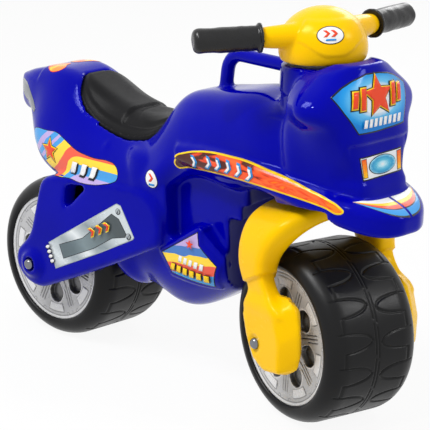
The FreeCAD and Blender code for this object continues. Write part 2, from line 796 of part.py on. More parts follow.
hollow = fuse_in_turn(hollows)
core = cylinder_up(straight_place, N.neck_core_radius, 0, N.bar_height)
arch_roof = cylinder_up(straight_place, N.shoulder_well_radius, 0, N.head_foot + 3 * wall)
seat_bed = loft_along_x(hull_stations(SEAT_SHARES), ROUND_SHARE, -wall)
pod_clear = N.pod_radius + N.turn_clearance
pod_clear_top = N.pod_foot + N.pod_height
pod_bed = cylinder_up(straight_place, pod_clear + wall, N.head_top - wall, pod_clear_top)
hollow = cut_in_turn(hollow, [wells(wall), arch_roof, core, seat_bed, pod_bed])

over = N.cutter_overrun
head_bore = cylinder_up(straight_place, N.stem_radius + N.head_bush_wall, 0, N.head_top + over)
flange_room = cylinder_up(straight_place, N.neck_core_radius + N.turn_clearance, 0, N.head_foot)
axle_bore = cylinder_across(rear_place, N.axle_radius + N.fit_gap, N.fork_half_width)
face = rear_face.number
sink = []
for side in (1, -1):
    start = V(-front_axle_place, side * face, N.wheel_radius)
    sink.append(Part.makeCylinder(N.washer_radius + N.seat_gap, N.arm_thickness, start, V(0, side, 0)))
pod_room = cylinder_up(straight_place, pod_clear, N.head_top, pod_clear_top)
rooms = [wells(0), flange_room, head_bore, axle_bore, pod_room]
body = cut_in_turn(outer, rooms + sink + [recess, hollow])
free_form("body_shell", body)
free_form("seat_pad", pad)

# Head bushes: flanged rings pressed into both ends of the head bore.
bore = S.stem_radius + S.fit_gap
barrel = S.stem_radius + S.head_bush_wall
rim_out = barrel + S.head_bush_flange
lip = S.head_bush_flange_thickness
bush_outline = [
    (NOTHING, bore),
    (NOTHING, rim_out),
    (lip, rim_out),
    (lip, barrel),
    (lip + S.head_bush_length, barrel),
    (lip + S.head_bush_length, bore),
]
down = FreeCAD.Rotation(V(0, 1, 0), 90)
low_place = straight_place.multiply(FreeCAD.Placement(V(0, 0, N.head_foot - lip.number), UPRIGHT))
top_place = straight_place.multiply(FreeCAD.Placement(V(0, 0, N.head_top + lip.number), down))
turned("head_bush_lower", bush_outline, low_place)
turned("head_bush_upper", bush_outline, top_place)

# Fork: one blown arch over the front wheel, lofted along its own path, with the stem on top.
# Each station: (y, z) as shares of the half width and of the crown's top, the turn of the
# section about X in degrees from level, then its length, thickness and lead as shares of the
# leg's length.
FORK_ROUND_SHARE = 0.3
STEM_FOOT_SHARE = 0.25
FORK_SHARES = [
    (0.855, -0.244, 0, 0.52, 0.28, 0.27),
    (0.855, -0.200, 0, 0.74, 0.36, 0.24),
    (0.855, 0.000, 0, 1.00, 0.39, 0.15),
    (0.855, 0.256, 0, 1.00, 0.39, 0.12),
    (0.850, 0.400, 4, 0.66, 0.36, -0.04),
    (0.845, 0.500, 8, 0.64, 0.38, -0.16),
    (0.800, 0.680, 25, 0.78, 0.42, -0.14),
    (0.655, 0.830, 50, 0.98, 0.38, -0.04),
    (0.400, 0.902, 76, 1.04, 0.30, 0.00),
]


def fork_ring(y, z, turn, length, thickness, lead):
    leg = N.fork_leg_length
    half = length * leg / 2
    thick = thickness * leg / 2
    corners = [(half, thick), (half, -thick), (-half, -thick), (-half, thick)]
    spin = FreeCAD.Rotation(V(1, 0, 0), turn)
    centre = V(lead * leg, y * N.fork_half_width, z * N.crown_top)
    return [centre + spin.multVec(V(u, v, 0)) for u, v in corners]


def fork_arch(wall):
    rings = []
    thin = 2 * wall / N.fork_leg_length
    for y, z, turn, length, thickness, lead in FORK_SHARES:
        rings.append(fork_ring(y, z, turn, length - thin, thickness - thin, lead))
    across = [[V(p.x, -p.y, p.z) for p in ring] for ring in reversed(rings)]
    if wall:
        rings[0] = [p + V(0, 0, wall) for p in rings[0]]
        across[-1] = [p + V(0, 0, wall) for p in across[-1]]
    wires = [rounded_ring(ring, FORK_ROUND_SHARE) for ring in rings]
    for ring in across:
        wires.append(rounded_ring([ring[1], ring[0], ring[3], ring[2]], FORK_ROUND_SHARE))
    return Part.makeLoft(wires, True, False)


identity = FreeCAD.Placement()
arch = fork_arch(0)
inside = fork_arch(N.fork_wall)
stem_top = N.pod_foot + N.socket_depth - N.running_gap
stem_foot = N.crown_top - N.fork_leg_length * STEM_FOOT_SHARE
shoulder = cylinder_up(identity, N.neck_core_radius, stem_foot, N.head_foot - lip.number - N.running_gap)
stem = cylinder_up(identity, N.stem_radius, stem_foot, stem_top)
stem_hollow = cylinder_up(identity, N.stem_bore, stem_foot + N.fork_wall, stem_top - N.fork_wall)
bosses = cylinder_across(identity, N.washer_radius + N.fork_wall, N.fork_half_width - N.fork_wall)
inside = inside.cut(fuse_all([shoulder, stem, bosses]))
fork = fuse_all([arch, shoulder, stem]).cut(fuse_all([inside, stem_hollow]))
sinks = [cylinder_across(identity, N.axle_radius + N.fit_gap, N.fork_half_width + over)]
for side in (1, -1):
    start = V(0, side * front_face.number, 0)
    sinks.append(Part.makeCylinder(N.washer_radius + N.seat_gap, N.arm_thickness, start, V(0, side, 0)))
bolt_hole = Part.makeCylinder(
    N.stem_bolt_radius + N.fit_gap,
    N.pod_radius + N.stem_bolt_reach + 2 * N.seat_gap,
    V(-N.pod_radius, 0, N.stem_bolt_height),
    V(1, 0, 0),
)
fork = fork.cut(fuse_all(sinks + [bolt_hole]))
free_form("fork", fork, steering_place)

# Handlebar: a domed pod that sits on the neck and two swept arms, blown in one piece.
POD_SHARES = [
    (0.00, 0.95),
    (0.10, 1.00),
    (0.38, 1.00),
    (0.62, 0.90),
    (0.82, 0.68),
    (0.96, 0.36),
    (1.00, 0.10),
]


def bar_direction(side):
    sweep = math.radians(N.bar_sweep)
    return V(-math.sin(sweep), side * math.cos(sweep), 0)


def along_bar(side, distance):
    return V(N.bar_lead, 0, N.bar_height) + bar_direction(side) * distance


pod_wires = []
for rise, spread in POD_SHARES:
    centre = V(0, 0, N.pod_foot + rise * N.pod_height)
    pod_wires.append(Part.Wire([Part.Circle(centre, V(0, 0, 1), spread * N.pod_radius).toShape()]))
pod = Part.makeLoft(pod_wires, True, False)
bars = []
for side in (1, -1):
    root = N.bar_root_reach
    flare = N.grip_start - root
    start = along_bar(side, root)
    heading = bar_direction(side)
    cone = Part.makeCone(N.bar_root_radius, N.bar_end_radius, flare, start, heading)
    rod_end = N.grip_length - N.grip_end_round
    rod = Part.makeCylinder(N.bar_radius, flare + rod_end, start, heading)
    bars.extend([cone, rod])
handlebar = fuse_all([pod] + bars)
socket = cylinder_up(identity, N.stem_radius + N.fit_gap, 0, N.pod_foot + N.socket_depth)
bush_clear = cylinder_up(identity, N.neck_core_radius, 0, N.head_top + lip.number + N.running_gap)
head_start = V(N.stem_bolt_head_height - N.pod_radius, 0, N.stem_bolt_height)
hole_radius = N.stem_bolt_head_radius + N.seat_gap
head_sink = Part.makeCylinder(hole_radius, N.pod_radius, head_start, V(-1, 0, 0))
handlebar = handlebar.cut(fuse_all([socket, bush_clear, bolt_hole, head_sink]))
free_form("handlebar", handlebar, steering_place)

# Grips: rubber sleeves with a closed rounded end and a collar at the inner end.
for word, side in (("left", 1), ("right", -1)):
    barrel_in = S.bar_radius + S.fit_gap
    round_off = S.grip_end_round
    grip_outline = [
        (NOTHING, barrel_in),
        (NOTHING, S.grip_radius + S.grip_collar),
        (S.grip_collar_width, S.grip_radius + S.grip_collar),
        (S.grip_collar_width, S.grip_radius),
        (S.grip_length - round_off, S.grip_radius, round_off, -1),
        (S.grip_length, S.grip_radius - round_off),
        (S.grip_length, NOTHING),
        (S.grip_length - round_off, NOTHING),
        (S.grip_length - round_off, barrel_in),
    ]
    heading = math.degrees(math.atan2(bar_direction(side).y, bar_direction(side).x))
    at = FreeCAD.Placement(along_bar(side, N.grip_start), FreeCAD.Rotation(V(0, 0, 1), heading))
    turned("grip_" + word, grip_outline, steering_place.multiply(at))

# Bolt that holds the handlebar on the stem, driven in from the rider's side.
bolt_outline = [
    (NOTHING, NOTHING),
    (NOTHING, S.stem_bolt_head_radius),
    (S.stem_bolt_head_height - S.seat_gap, S.stem_bolt_head_radius),
    (S.stem_bolt_head_height - S.seat_gap, S.stem_bolt_radius),
    (S.pod_radius + S.stem_bolt_reach, S.stem_bolt_radius),
    (S.pod_radius + S.stem_bolt_reach, NOTHING),
]
bolt_start = V(N.seat_gap - N.pod_radius, 0, N.stem_bolt_height)
turned("stem_bolt", bolt_outline, steering_place.multiply(FreeCAD.Placement(bolt_start, FreeCAD.Rotation())))

doc.recompute()
for item in doc.Objects:
    if "Invalid" in item.State or "Error" in item.State:
        raise ValueError(item.Label + " failed")
for name, item in pieces.items():
    if item.Shape.isNull() or not item.Shape.isValid():
        raise ValueError(name + " has no valid shape")
for name, item in pieces.items():
    item.Shape.exportStep("parts/" + name + ".step")
    print(name, len(item.Shape.Solids), round(item.Shape.Volume / 1000, 1))
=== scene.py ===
import json
import math

import bmesh
import bpy
from mathutils import Color, Matrix, Vector, noise
from mathutils.bvhtree import BVHTree
from mathutils.kdtree import KDTree


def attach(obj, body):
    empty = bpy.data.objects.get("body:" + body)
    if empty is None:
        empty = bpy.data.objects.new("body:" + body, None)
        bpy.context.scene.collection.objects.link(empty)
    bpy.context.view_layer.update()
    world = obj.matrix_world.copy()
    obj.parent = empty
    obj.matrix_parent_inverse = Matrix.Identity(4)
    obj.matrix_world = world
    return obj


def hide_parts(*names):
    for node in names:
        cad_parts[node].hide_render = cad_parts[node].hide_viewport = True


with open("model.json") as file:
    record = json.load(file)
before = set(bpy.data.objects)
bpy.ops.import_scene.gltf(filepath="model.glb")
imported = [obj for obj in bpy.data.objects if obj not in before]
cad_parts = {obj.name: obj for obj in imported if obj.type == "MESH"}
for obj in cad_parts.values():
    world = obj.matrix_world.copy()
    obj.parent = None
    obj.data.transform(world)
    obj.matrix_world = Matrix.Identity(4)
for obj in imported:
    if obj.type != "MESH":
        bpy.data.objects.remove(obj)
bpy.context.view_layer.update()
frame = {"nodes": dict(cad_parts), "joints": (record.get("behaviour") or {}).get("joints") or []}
MM = 0.001


# The studio: a pale floor that runs out of sight, an even white sky, soft lamps around the
# camera, and the camera itself with a long lens, ahead of the bike and to its right.
def paint(red, green, blue):
    """The scene's own colour for an ordinary screen colour."""
    screen = Color((red / 255, green / 255, blue / 255))
    return (*screen.from_srgb_to_scene_linear(), 1.0)


def link(name, mesh):
    piece = bpy.data.objects.new(name, mesh)
    bpy.context.scene.collection.objects.link(piece)
    return piece


def mesh_from(name, bm):
    mesh = bpy.data.meshes.new(name)
    bm.to_mesh(mesh)
    bm.free()
    return mesh


def blank_material(name):
    """A node material with only its output, and the shorthand that adds and joins nodes in it."""
    look = bpy.data.materials.new(name)
    look.use_nodes = True
    look.node_tree.nodes.clear()
    return look, look.node_tree


def node(tree, kind, *wires, **settings):
    """Adds a node; each wire is (input, value or socket)."""
    made = tree.nodes.new(kind)
    for key, value in settings.items():
        setattr(made, key, value)
    for place, value in wires:
        if isinstance(value, bpy.types.NodeSocket):
            tree.links.new(value, made.inputs[place])
        else:
            made.inputs[place].default_value = value
    return made


def ranged(tree, value, low, high):
    """A value from 0 to 1, made to lie between two others."""
    return node(tree, "ShaderNodeMapRange", ("Value", value), ("To Min", low), ("To Max", high)).outputs[0]


def maths(tree, operation, first, second):
    return node(tree, "ShaderNodeMath", (0, first), (1, second), operation=operation).outputs[0]


def seen_white(tree):
    """1 for rays that see the background: straight, in a reflection or through something."""
    path = node(tree, "ShaderNodeLightPath").outputs
    first = maths(tree, "MAXIMUM", path["Is Camera Ray"], path["Is Glossy Ray"])
    return maths(tree, "MAXIMUM", first, path["Is Transmission Ray"])


FLOOR_HALF = 12.0
SKY_LEVEL = 0.42
FLOOR_SHADOW_SHARE = 0.08

bm = bmesh.new()
bmesh.ops.create_grid(bm, x_segments=1, y_segments=1, size=FLOOR_HALF)
floor = link("floor", mesh_from("floor", bm))
floor_look, tree = blank_material("floor_paint")
cloud = node(tree, "ShaderNodeTexNoise", ("Vector", node(tree, "ShaderNodeTexCoord").outputs["Object"]),
             ("Scale", 0.6))
matt = node(tree, "ShaderNodeBsdfPrincipled", ("Base Color", ranged(tree, cloud.outputs["Fac"], 0.86, 0.90)),
            ("Roughness", 0.9), ("Specular IOR Level", 0.0))
glow = node(tree, "ShaderNodeEmission", ("Color", (1, 1, 1, 1)), ("Strength", 1.0))
share = maths(tree, "MULTIPLY", seen_white(tree), 1 - FLOOR_SHADOW_SHARE)
mixed = node(tree, "ShaderNodeMixShader", (0, share), (1, matt.outputs[0]), (2, glow.outputs[0]))
node(tree, "ShaderNodeOutputMaterial", ("Surface", mixed.outputs[0]))
floor.data.materials.append(floor_look)

sky = bpy.data.worlds.new("sky")
bpy.context.scene.world = sky
sky.use_nodes = True
sky.node_tree.nodes.clear()
level = ranged(sky.node_tree, seen_white(sky.node_tree), SKY_LEVEL, 1.0)
air = node(sky.node_tree, "ShaderNodeBackground", ("Color", (1, 1, 1, 1)), ("Strength", level))
node(sky.node_tree, "ShaderNodeOutputWorld", ("Surface", air.outputs[0]))

CAMERA_PLACE = Vector((1.825488, -1.784238, 0.970469))
CAMERA_RIGHT = Vector((0.702021, 0.712074, 0.010792))
CAMERA_UP = Vector((-0.211269, 0.193766, 0.958029))
CAMERA_AHEAD = Vector((-0.680097, 0.674837, -0.286466))
LENS = 172.1
SENSOR = 36.0


def placed(right, up, back, place):
    return Matrix((right, up, back)).transposed().to_4x4() + Matrix.Translation(place) - Matrix.Identity(4)


lens = bpy.data.cameras.new("camera")
lens.lens = LENS
lens.sensor_width = SENSOR
camera = link("camera", lens)
camera.matrix_world = placed(CAMERA_RIGHT, CAMERA_UP, -CAMERA_AHEAD, CAMERA_PLACE)
bpy.context.scene.camera = camera
bpy.context.scene.view_settings.view_transform = "Standard"

# Each lamp: its direction from the bike in the camera's frame (right, up, towards the camera),
# its distance, width and power.
BIKE_MIDDLE = Vector((0.0, 0.0, 0.25))
LAMPS = {
    "lamp_key": ((-0.65, 0.95, 0.65), 2.6, 0.8, 42.0),
    "lamp_fill": ((0.95, 0.45, 0.50), 2.8, 0.5, 13.0),
    "lamp_spark_left": ((-0.30, 0.70, 0.95), 2.5, 0.06, 8.0),
    "lamp_spark_right": ((0.75, 0.75, 0.60), 2.6, 0.06, 6.0),
    "lamp_back": ((0.5, 0.9, -0.8), 2.6, 1.0, 13.0),
}
for name, (way, far, width, power) in LAMPS.items():
    lamp = bpy.data.lights.new(name, "AREA")
    lamp.size = width
    lamp.energy = power
    heading = (CAMERA_RIGHT * way[0] + CAMERA_UP * way[1] - CAMERA_AHEAD * way[2]).normalized()
    holder = link(name, lamp)
    holder.location = BIKE_MIDDLE + heading * far
    holder.rotation_euler = heading.to_track_quat("Z", "Y").to_euler()


# Body: one hollow shell of polyethylene, blown in a mould of two halves that part on the middle
# plane. Its edges come out round, its skin shines, and the mould leaves a fine line.
def moulded_skin():
    """The small unevenness that every moulded surface has: slow waves, fine grain, handling."""
    group = bpy.data.node_groups.new("moulded_skin", "ShaderNodeTree")
    for title, start in (("Wave Scale", 12.0), ("Grain Scale", 900.0)):
        socket = group.interface.new_socket(title, in_out="INPUT", socket_type="NodeSocketFloat")
        socket.default_value = start
    for title in ("Wave", "Grain", "Handling"):
        group.interface.new_socket(title, in_out="OUTPUT", socket_type="NodeSocketFloat")
    enter = node(group, "NodeGroupInput")
    place = node(group, "ShaderNodeTexCoord").outputs["Object"]
    wave = node(group, "ShaderNodeTexNoise", ("Vector", place), ("Scale", enter.outputs["Wave Scale"]),
                ("Detail", 1.0))
    grain = node(group, "ShaderNodeTexNoise", ("Vector", place), ("Scale", enter.outputs["Grain Scale"]),
                 ("Detail", 3.0))
    rub = node(group, "ShaderNodeTexNoise", ("Vector", place), ("Scale", 45.0), ("Detail", 6.0),
               ("Roughness", 0.7))
    clean = node(group, "ShaderNodeMapRange", ("Value", rub.outputs["Fac"]), ("From Min", 0.45),
                 ("From Max", 0.75))
    leave = node(group, "NodeGroupOutput")
    group.links.new(wave.outputs["Fac"], leave.inputs["Wave"])
    group.links.new(grain.outputs["Fac"], leave.inputs["Grain"])
    group.links.new(clean.outputs[0], leave.inputs["Handling"])
    return group


SKIN_GROUP = moulded_skin()


def tinted(tree, amount, low, high):
    """A colour between two, by an amount."""
    mix = node(tree, "ShaderNodeMix", (0, amount), (6, low), (7, high), data_type="RGBA")
    return mix.outputs[2]


def plastic(name, low, high, rough, grain=900.0, bump=0.1, height=None, colour=None, dulled=None, **uniform):
    """A moulded material: colour drifts between low and high, roughness between the two of rough.
    height adds a relief, colour a pattern and dulled a roughness pattern; each gets the node tree."""
    look, tree = blank_material(name)
    skin = node(tree, "ShaderNodeGroup", node_tree=SKIN_GROUP)
    skin.inputs["Grain Scale"].default_value = grain
    base = tinted(tree, skin.outputs["Wave"], low, high)
    if colour:
        base = colour(tree, base)
    dull = ranged(tree, skin.outputs["Handling"], *rough)
    if dulled:
        dull = dulled(tree, dull)
    relief = skin.outputs["Grain"]
    if height:
        relief = maths(tree, "ADD", relief, height(tree))
    uneven = node(tree, "ShaderNodeBump", ("Height", relief), ("Strength", bump), ("Distance", 0.0004))
    surface = node(tree, "ShaderNodeBsdfPrincipled", ("Base Color", base), ("Roughness", dull),
                   ("Normal", uneven.outputs["Normal"]))
    for title, value in uniform.items():
        surface.inputs[title.replace("_", " ")].default_value = value
    node(tree, "ShaderNodeOutputMaterial", ("Surface", surface.outputs[0]))
    return look


def smoothstep(low, high, value):
    share = min(max((value - low) / (high - low), 0.0), 1.0)
    return share * share * (3 - 2 * share)


MOULD_LINE_HALF = 0.7 * MM
MOULD_LINE_RISE = 2.5


def mould_line(tree):
    """The fine raised line where the two halves of the mould met, on the middle plane."""
    place = node(tree, "ShaderNodeTexCoord").outputs["Object"]
    side = node(tree, "ShaderNodeSeparateXYZ", (0, place)).outputs["Y"]
    off = node(tree, "ShaderNodeMath", (0, side), operation="ABSOLUTE").outputs[0]
    line = node(tree, "ShaderNodeMapRange", ("Value", off), ("From Min", 0.0),
                ("From Max", MOULD_LINE_HALF), ("To Min", MOULD_LINE_RISE), ("To Max", 0.0),
                interpolation_type="SMOOTHSTEP")
    return line.outputs[0]


def keep_largest(bm):
    """Drops the inner side of a hollow form: every connected skin well inside the widest one."""
    left = set(bm.verts)
    islands = []
    while left:
        start = left.pop()
        island = [start]
        for vert in island:
            for edge in vert.link_edges:
                other = edge.other_vert(vert)
                if other in left:
                    left.discard(other)
                    island.append(other)
        islands.append(island)

    def span(island):
        return max(v.co.x for v in island) - min(v.co.x for v in island)

    widest = max(islands, key=span)
    spare = [vert for island in islands if island is not widest for vert in island]
    bmesh.ops.delete(bm, geom=spare, context="VERTS")


def outer_copy(name):
    """A copy of a CAD node's outer skin, with its loose triangles joined up."""
    bm = bmesh.new()
    bm.from_mesh(frame["nodes"][name].data)
    bmesh.ops.remove_doubles(bm, verts=bm.verts, dist=0.01 * MM)
    keep_largest(bm)
    return bm


def blown(name, bm, voxel, rounds):
    """One even skin over everything in the mesh, with its edges eased as blown plastic has them."""
    rough = link(name + "_rough", mesh_from(name + "_rough", bm))
    remesh = rough.modifiers.new("even_skin", "REMESH")
    remesh.mode = "VOXEL"
    remesh.voxel_size = voxel
    even = bpy.data.meshes.new_from_object(rough.evaluated_get(bpy.context.evaluated_depsgraph_get()))
    bpy.data.objects.remove(rough)
    bm = bmesh.new()
    bm.from_mesh(even)
    keep_largest(bm)
    for _ in range(rounds):
        bmesh.ops.smooth_vert(bm, verts=bm.verts, factor=0.5, use_axis_x=True, use_axis_y=True,
                              use_axis_z=True)
    bm.normal_update()
    return bm


def finished(name, bm, look, body, slot, *nodes):
    """Makes the piece from its mesh, with its material, hangs it on its body and hides the CAD nodes it
    stands for.
    """
    for face in bm.faces:
        face.smooth = True
    piece = link(name, mesh_from(name, bm))
    for one in look if isinstance(look, (list, tuple)) else [look]:
        piece.data.materials.append(one)
    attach(piece, body)
    if nodes:
        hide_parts(*nodes)
    return piece


def depth_inside(shape, a, b):
    """How far a point lies inside a closed outline; below zero outside it."""
    nearest, inside = math.inf, False
    for (x0, y0), (x1, y1) in zip(shape, shape[1:] + shape[:1]):
        if (y0 > b) != (y1 > b) and a < x0 + (b - y0) * (x1 - x0) / (y1 - y0):
            inside = not inside
        dx, dy = x1 - x0, y1 - y0
        share = min(max(((a - x0) * dx + (b - y0) * dy) / (dx * dx + dy * dy), 0.0), 1.0)
        nearest = min(nearest, math.hypot(a - x0 - share * dx, b - y0 - share * dy))
    return nearest if inside else -nearest


BODY_VOXEL = 2.5 * MM
BODY_ROUNDS = 4
PANEL = [(67, 213.9), (68.3, 196.2), (95.5, 173.3), (84.2, 141.5), (16.7, 147.3), (-0.9, 172.2)]
PANEL_RISE = 2.4
PANEL_EDGE = (-6.0, -3.0)
PANEL_INSIDE = 42
PANEL_BOX = ((-20, 115), (125, 235))
LAMP_BOX_SINK = 3.5
LAMP_BOX_BACK = (262, 274)
LAMP_BOX_SIDE = (58, 48)
LAMP_BOX_FOOT = (312, 326)
LAMP_BOX_BROW = (367.5, 363.5)
COLLAR_SINK = 2.2
COLLAR_MIDDLE = 210
COLLAR_REACH = 66
COLLAR_FRONT = 232
COLLAR_FOOT = 380
COLLAR_LIP = (410.5, 407.5)
COLLAR_STEEP = (0.7, 0.35)
TAIL_STEP = 1.8
TAIL_STEP_PLACE = (-268.0, -271.0)
TAIL_STEP_FOOT = (345, 352)


def body_relief(x, y, z, level):
    """How far the skin moves out at a place: the engine panel stands out, and the lamp box, the
    neck below its collar and the tail's end stand back. level is 1 where the skin lies flat."""
    push = 0.0
    if x < TAIL_STEP_PLACE[0] and z > TAIL_STEP_FOOT[0]:
        push -= TAIL_STEP * smoothstep(*TAIL_STEP_PLACE, x) * smoothstep(*TAIL_STEP_FOOT, z)
    along, high = PANEL_BOX
    if abs(y) > PANEL_INSIDE and along[0] < x < along[1] and high[0] < z < high[1]:
        push += PANEL_RISE * smoothstep(*PANEL_EDGE, depth_inside(PANEL, x, z))
    if x > LAMP_BOX_BACK[0] and LAMP_BOX_FOOT[0] < z < LAMP_BOX_BROW[0] and abs(y) < LAMP_BOX_SIDE[0]:
        inside = smoothstep(*LAMP_BOX_SIDE, abs(y)) * smoothstep(*LAMP_BOX_BACK, x)
        push -= LAMP_BOX_SINK * smoothstep(*LAMP_BOX_BROW, z) * smoothstep(*LAMP_BOX_FOOT, z) * inside
    if z > COLLAR_FOOT and math.hypot(x - COLLAR_MIDDLE, y) < COLLAR_REACH and x < COLLAR_FRONT:
        push -= COLLAR_SINK * smoothstep(*COLLAR_LIP, z) * smoothstep(*COLLAR_STEEP, level)
    return push


def in_the_wells(tree):
    """1 on the walls of the wheel wells, which the mould leaves unpolished and which get painted shade."""
    return node(tree, "ShaderNodeAttribute", attribute_name="well").outputs["Fac"]


def painted_well_shade(tree, base):
    """Painted shade: a darker blue on the walls of the wheel wells."""
    return tinted(tree, in_the_wells(tree), base, paint(0, 0, 142))


def well_roughness(tree, rough):
    """A duller gloss on the unpolished walls."""
    return ranged(tree, in_the_wells(tree), rough, 0.55)


WELL_REACH = 130.0
WELL_FADE = 3
WELL_TOP = 288.0
WELL_FACING = 0.3
WELL_CEILING = -0.8
REAR_WELL_REACH = 118.5
REAR_WELL_HALF = 72
HEAD_LEAN = 0.0436

# The walls of the wheel wells get painted shade, a darker blue, and a duller gloss.
blue = plastic("blue_plastic", paint(0, 0, 144), paint(0, 0, 172), (0.06, 0.14), height=mould_line,
               colour=painted_well_shade, dulled=well_roughness, Specular_IOR_Level=0.16,
               Specular_Tint=(0.35, 0.40, 1.0, 1.0))
joints = {joint["name"]: joint for joint in frame["joints"]}
bm = blown("body", outer_copy("body_shell"), BODY_VOXEL, BODY_ROUNDS)
# The well attribute marks the walls of the wheel wells for their painted shade and duller gloss.
well_of = bm.verts.layers.float.new("well")
front_middle = Vector(joints["front_wheel_spin"]["pos_m"]) / MM
rear_middle = Vector(joints["rear_wheel_spin"]["pos_m"]) / MM
for vert in bm.verts:
    x, y, z = vert.co / MM
    off = Vector((x - front_middle.x + HEAD_LEAN * (z - front_middle.z), y, 0))
    facing = -off.normalized().dot(vert.normal) > WELL_FACING or vert.normal.z < WELL_CEILING
    if off.length < WELL_REACH and z < WELL_TOP and facing:
        vert[well_of] = smoothstep(WELL_REACH, WELL_REACH - WELL_FADE, off.length)
    if math.hypot(x - rear_middle.x, z - rear_middle.z) < REAR_WELL_REACH and abs(y) < REAR_WELL_HALF:
        vert[well_of] = 1.0
    vert.co += vert.normal * body_relief(x, y, z, abs(vert.normal.z)) * MM
bm.normal_update()
body_skin = BVHTree.FromBMesh(bm)
finished("body_skin", bm, blue, "chassis", "blue_plastic", "body_shell")


# Seat: a black insert pressed into the body's seat dip. It has a low flat rim all round, a wide
# cushion behind and, below a rounded step, a shorter nose in front.
SEAT_VOXEL = 2.0 * MM
SEAT_RIM = 7.0 * MM
SEAT_RIM_DROP = 2.6 * MM
SEAT_STEP_PLACE = -0.102
SEAT_STEP_DROP = 4.0 * MM
NOSE_MIDDLE = (-0.060, 0.0)
NOSE_HALF = (0.036, 0.038)
NOSE_RISE = 2.4 * MM
NOSE_EDGE = (0.86, 1.04)
STEP_HALF = 2.5 * MM
SEAT_ROUNDS = 5
SEAT_EDGE_LEVEL = 0.35
SEAT_TOP_LEVEL = 0.3

bm = blown("seat", outer_copy("seat_pad"), SEAT_VOXEL, SEAT_ROUNDS)
edge_points = [v.co for v in bm.verts if abs(v.normal.z) < SEAT_EDGE_LEVEL]
outline = KDTree(len(edge_points))
for index, point in enumerate(edge_points):
    outline.insert((point.x, point.y, 0), index)
outline.balance()
for vert in bm.verts:
    if vert.normal.z < SEAT_TOP_LEVEL:
        continue
    x, y, _ = vert.co
    inland = outline.find((x, y, 0))[2]
    drop = SEAT_RIM_DROP * (1 - smoothstep(SEAT_RIM - MM, SEAT_RIM + 2 * MM, inland))
    ahead = smoothstep(-STEP_HALF, STEP_HALF, x - SEAT_STEP_PLACE)
    off_middle = math.hypot((x - NOSE_MIDDLE[0]) / NOSE_HALF[0], (y - NOSE_MIDDLE[1]) / NOSE_HALF[1])
    nose = NOSE_RISE * (1 - smoothstep(*NOSE_EDGE, off_middle))
    drop += ahead * (SEAT_STEP_DROP - nose) * smoothstep(SEAT_RIM, SEAT_RIM + 3 * MM, inland)
    vert.co.z -= drop
bm.normal_update()
seat_black = plastic("seat_black", paint(14, 14, 16), paint(21, 21, 23), (0.36, 0.48), grain=1400.0,
                     bump=0.4, Specular_IOR_Level=0.10)
finished("seat_cushion", bm, seat_black, "chassis", "seat_black", "seat_pad")


# Stickers: printed film, cut to an outline, with a clear gloss face, pressed on the finished body.
# Those on its sides come in pairs. They carry plain bands, stars, bars and chevrons.
FILM = 0.10 * MM
FILM_LIFT = 0.30 * MM
FILM_STEP = 0.18 * MM
RAY_START = 2.0
DEPTH_STEPS = 100


def flat_outline(points, smooth):
    """One flat face inside an outline given in millimetres, its corners sharp or smooth."""
    curve = bpy.data.curves.new("outline", "CURVE")
    curve.dimensions = "2D"
    curve.fill_mode = "BOTH"
    curve.resolution_u = 8 if smooth else 1
    spline = curve.splines.new("BEZIER")
    spline.bezier_points.add(len(points) - 1)
    spline.use_cyclic_u = True
    for knot, (across, up) in zip(spline.bezier_points, points):
        knot.co = (across * MM, up * MM, 0)
        knot.handle_left_type = knot.handle_right_type = "AUTO" if smooth else "VECTOR"
    holder = link("outline", curve)
    mesh = bpy.data.meshes.new_from_object(holder.evaluated_get(bpy.context.evaluated_depsgraph_get()))
    bpy.data.objects.remove(holder)
    bm = bmesh.new()
    bm.from_mesh(mesh)
    bmesh.ops.remove_doubles(bm, verts=bm.verts, dist=0.01 * MM)
    if len(bm.faces) > 1:
        bmesh.ops.dissolve_faces(bm, faces=bm.faces[:])
    return bm


def ellipse(middle, half, turn=0.0, count=16):
    """Points round an ellipse, in millimetres."""
    points = []
    for step in range(count):
        angle = 2 * math.pi * step / count
        a, b = half[0] * math.cos(angle), half[1] * math.sin(angle)
        points.append((middle[0] + a * math.cos(turn) - b * math.sin(turn),
                       middle[1] + a * math.sin(turn) + b * math.cos(turn)))
    return points


def chevron(middle, size, turn=0.0, thick=0.45):
    """A pointed arrow stripe."""
    half, deep = size
    shape = [(-half, deep), (0, deep), (half, 0), (0, -deep), (-half, -deep), (half * (1 - 2 * thick), 0)]
    c, s = math.cos(turn), math.sin(turn)
    return [(middle[0] + a * c - b * s, middle[1] + a * s + b * c) for a, b in shape]


def star(middle, outer, inner, turn=0.0, points=5):
    ring = []
    for step in range(points * 2):
        angle = math.pi * step / points + turn + math.pi / 2
        far = outer if step % 2 == 0 else inner
        ring.append((middle[0] + far * math.cos(angle), middle[1] + far * math.sin(angle)))
    return ring


def slanted_bar(middle, half, slant):
    a, b = half
    x, y = middle
    return [(x - a - slant, y - b), (x + a - slant, y - b), (x + a + slant, y + b), (x - a + slant, y + b)]


def layer(points, ink, smooth=True, border=0.0, border_ink=0, fine=4.0):
    """One printed shape, its border, and the width of the strips it is cut into to follow the skin."""
    return dict(points=points, ink=ink, smooth=smooth, border=border, border_ink=border_ink, fine=fine)


def sharp(points, ink, **more):
    """A printed shape that keeps its corners."""
    return layer(points, ink, smooth=False, **more)


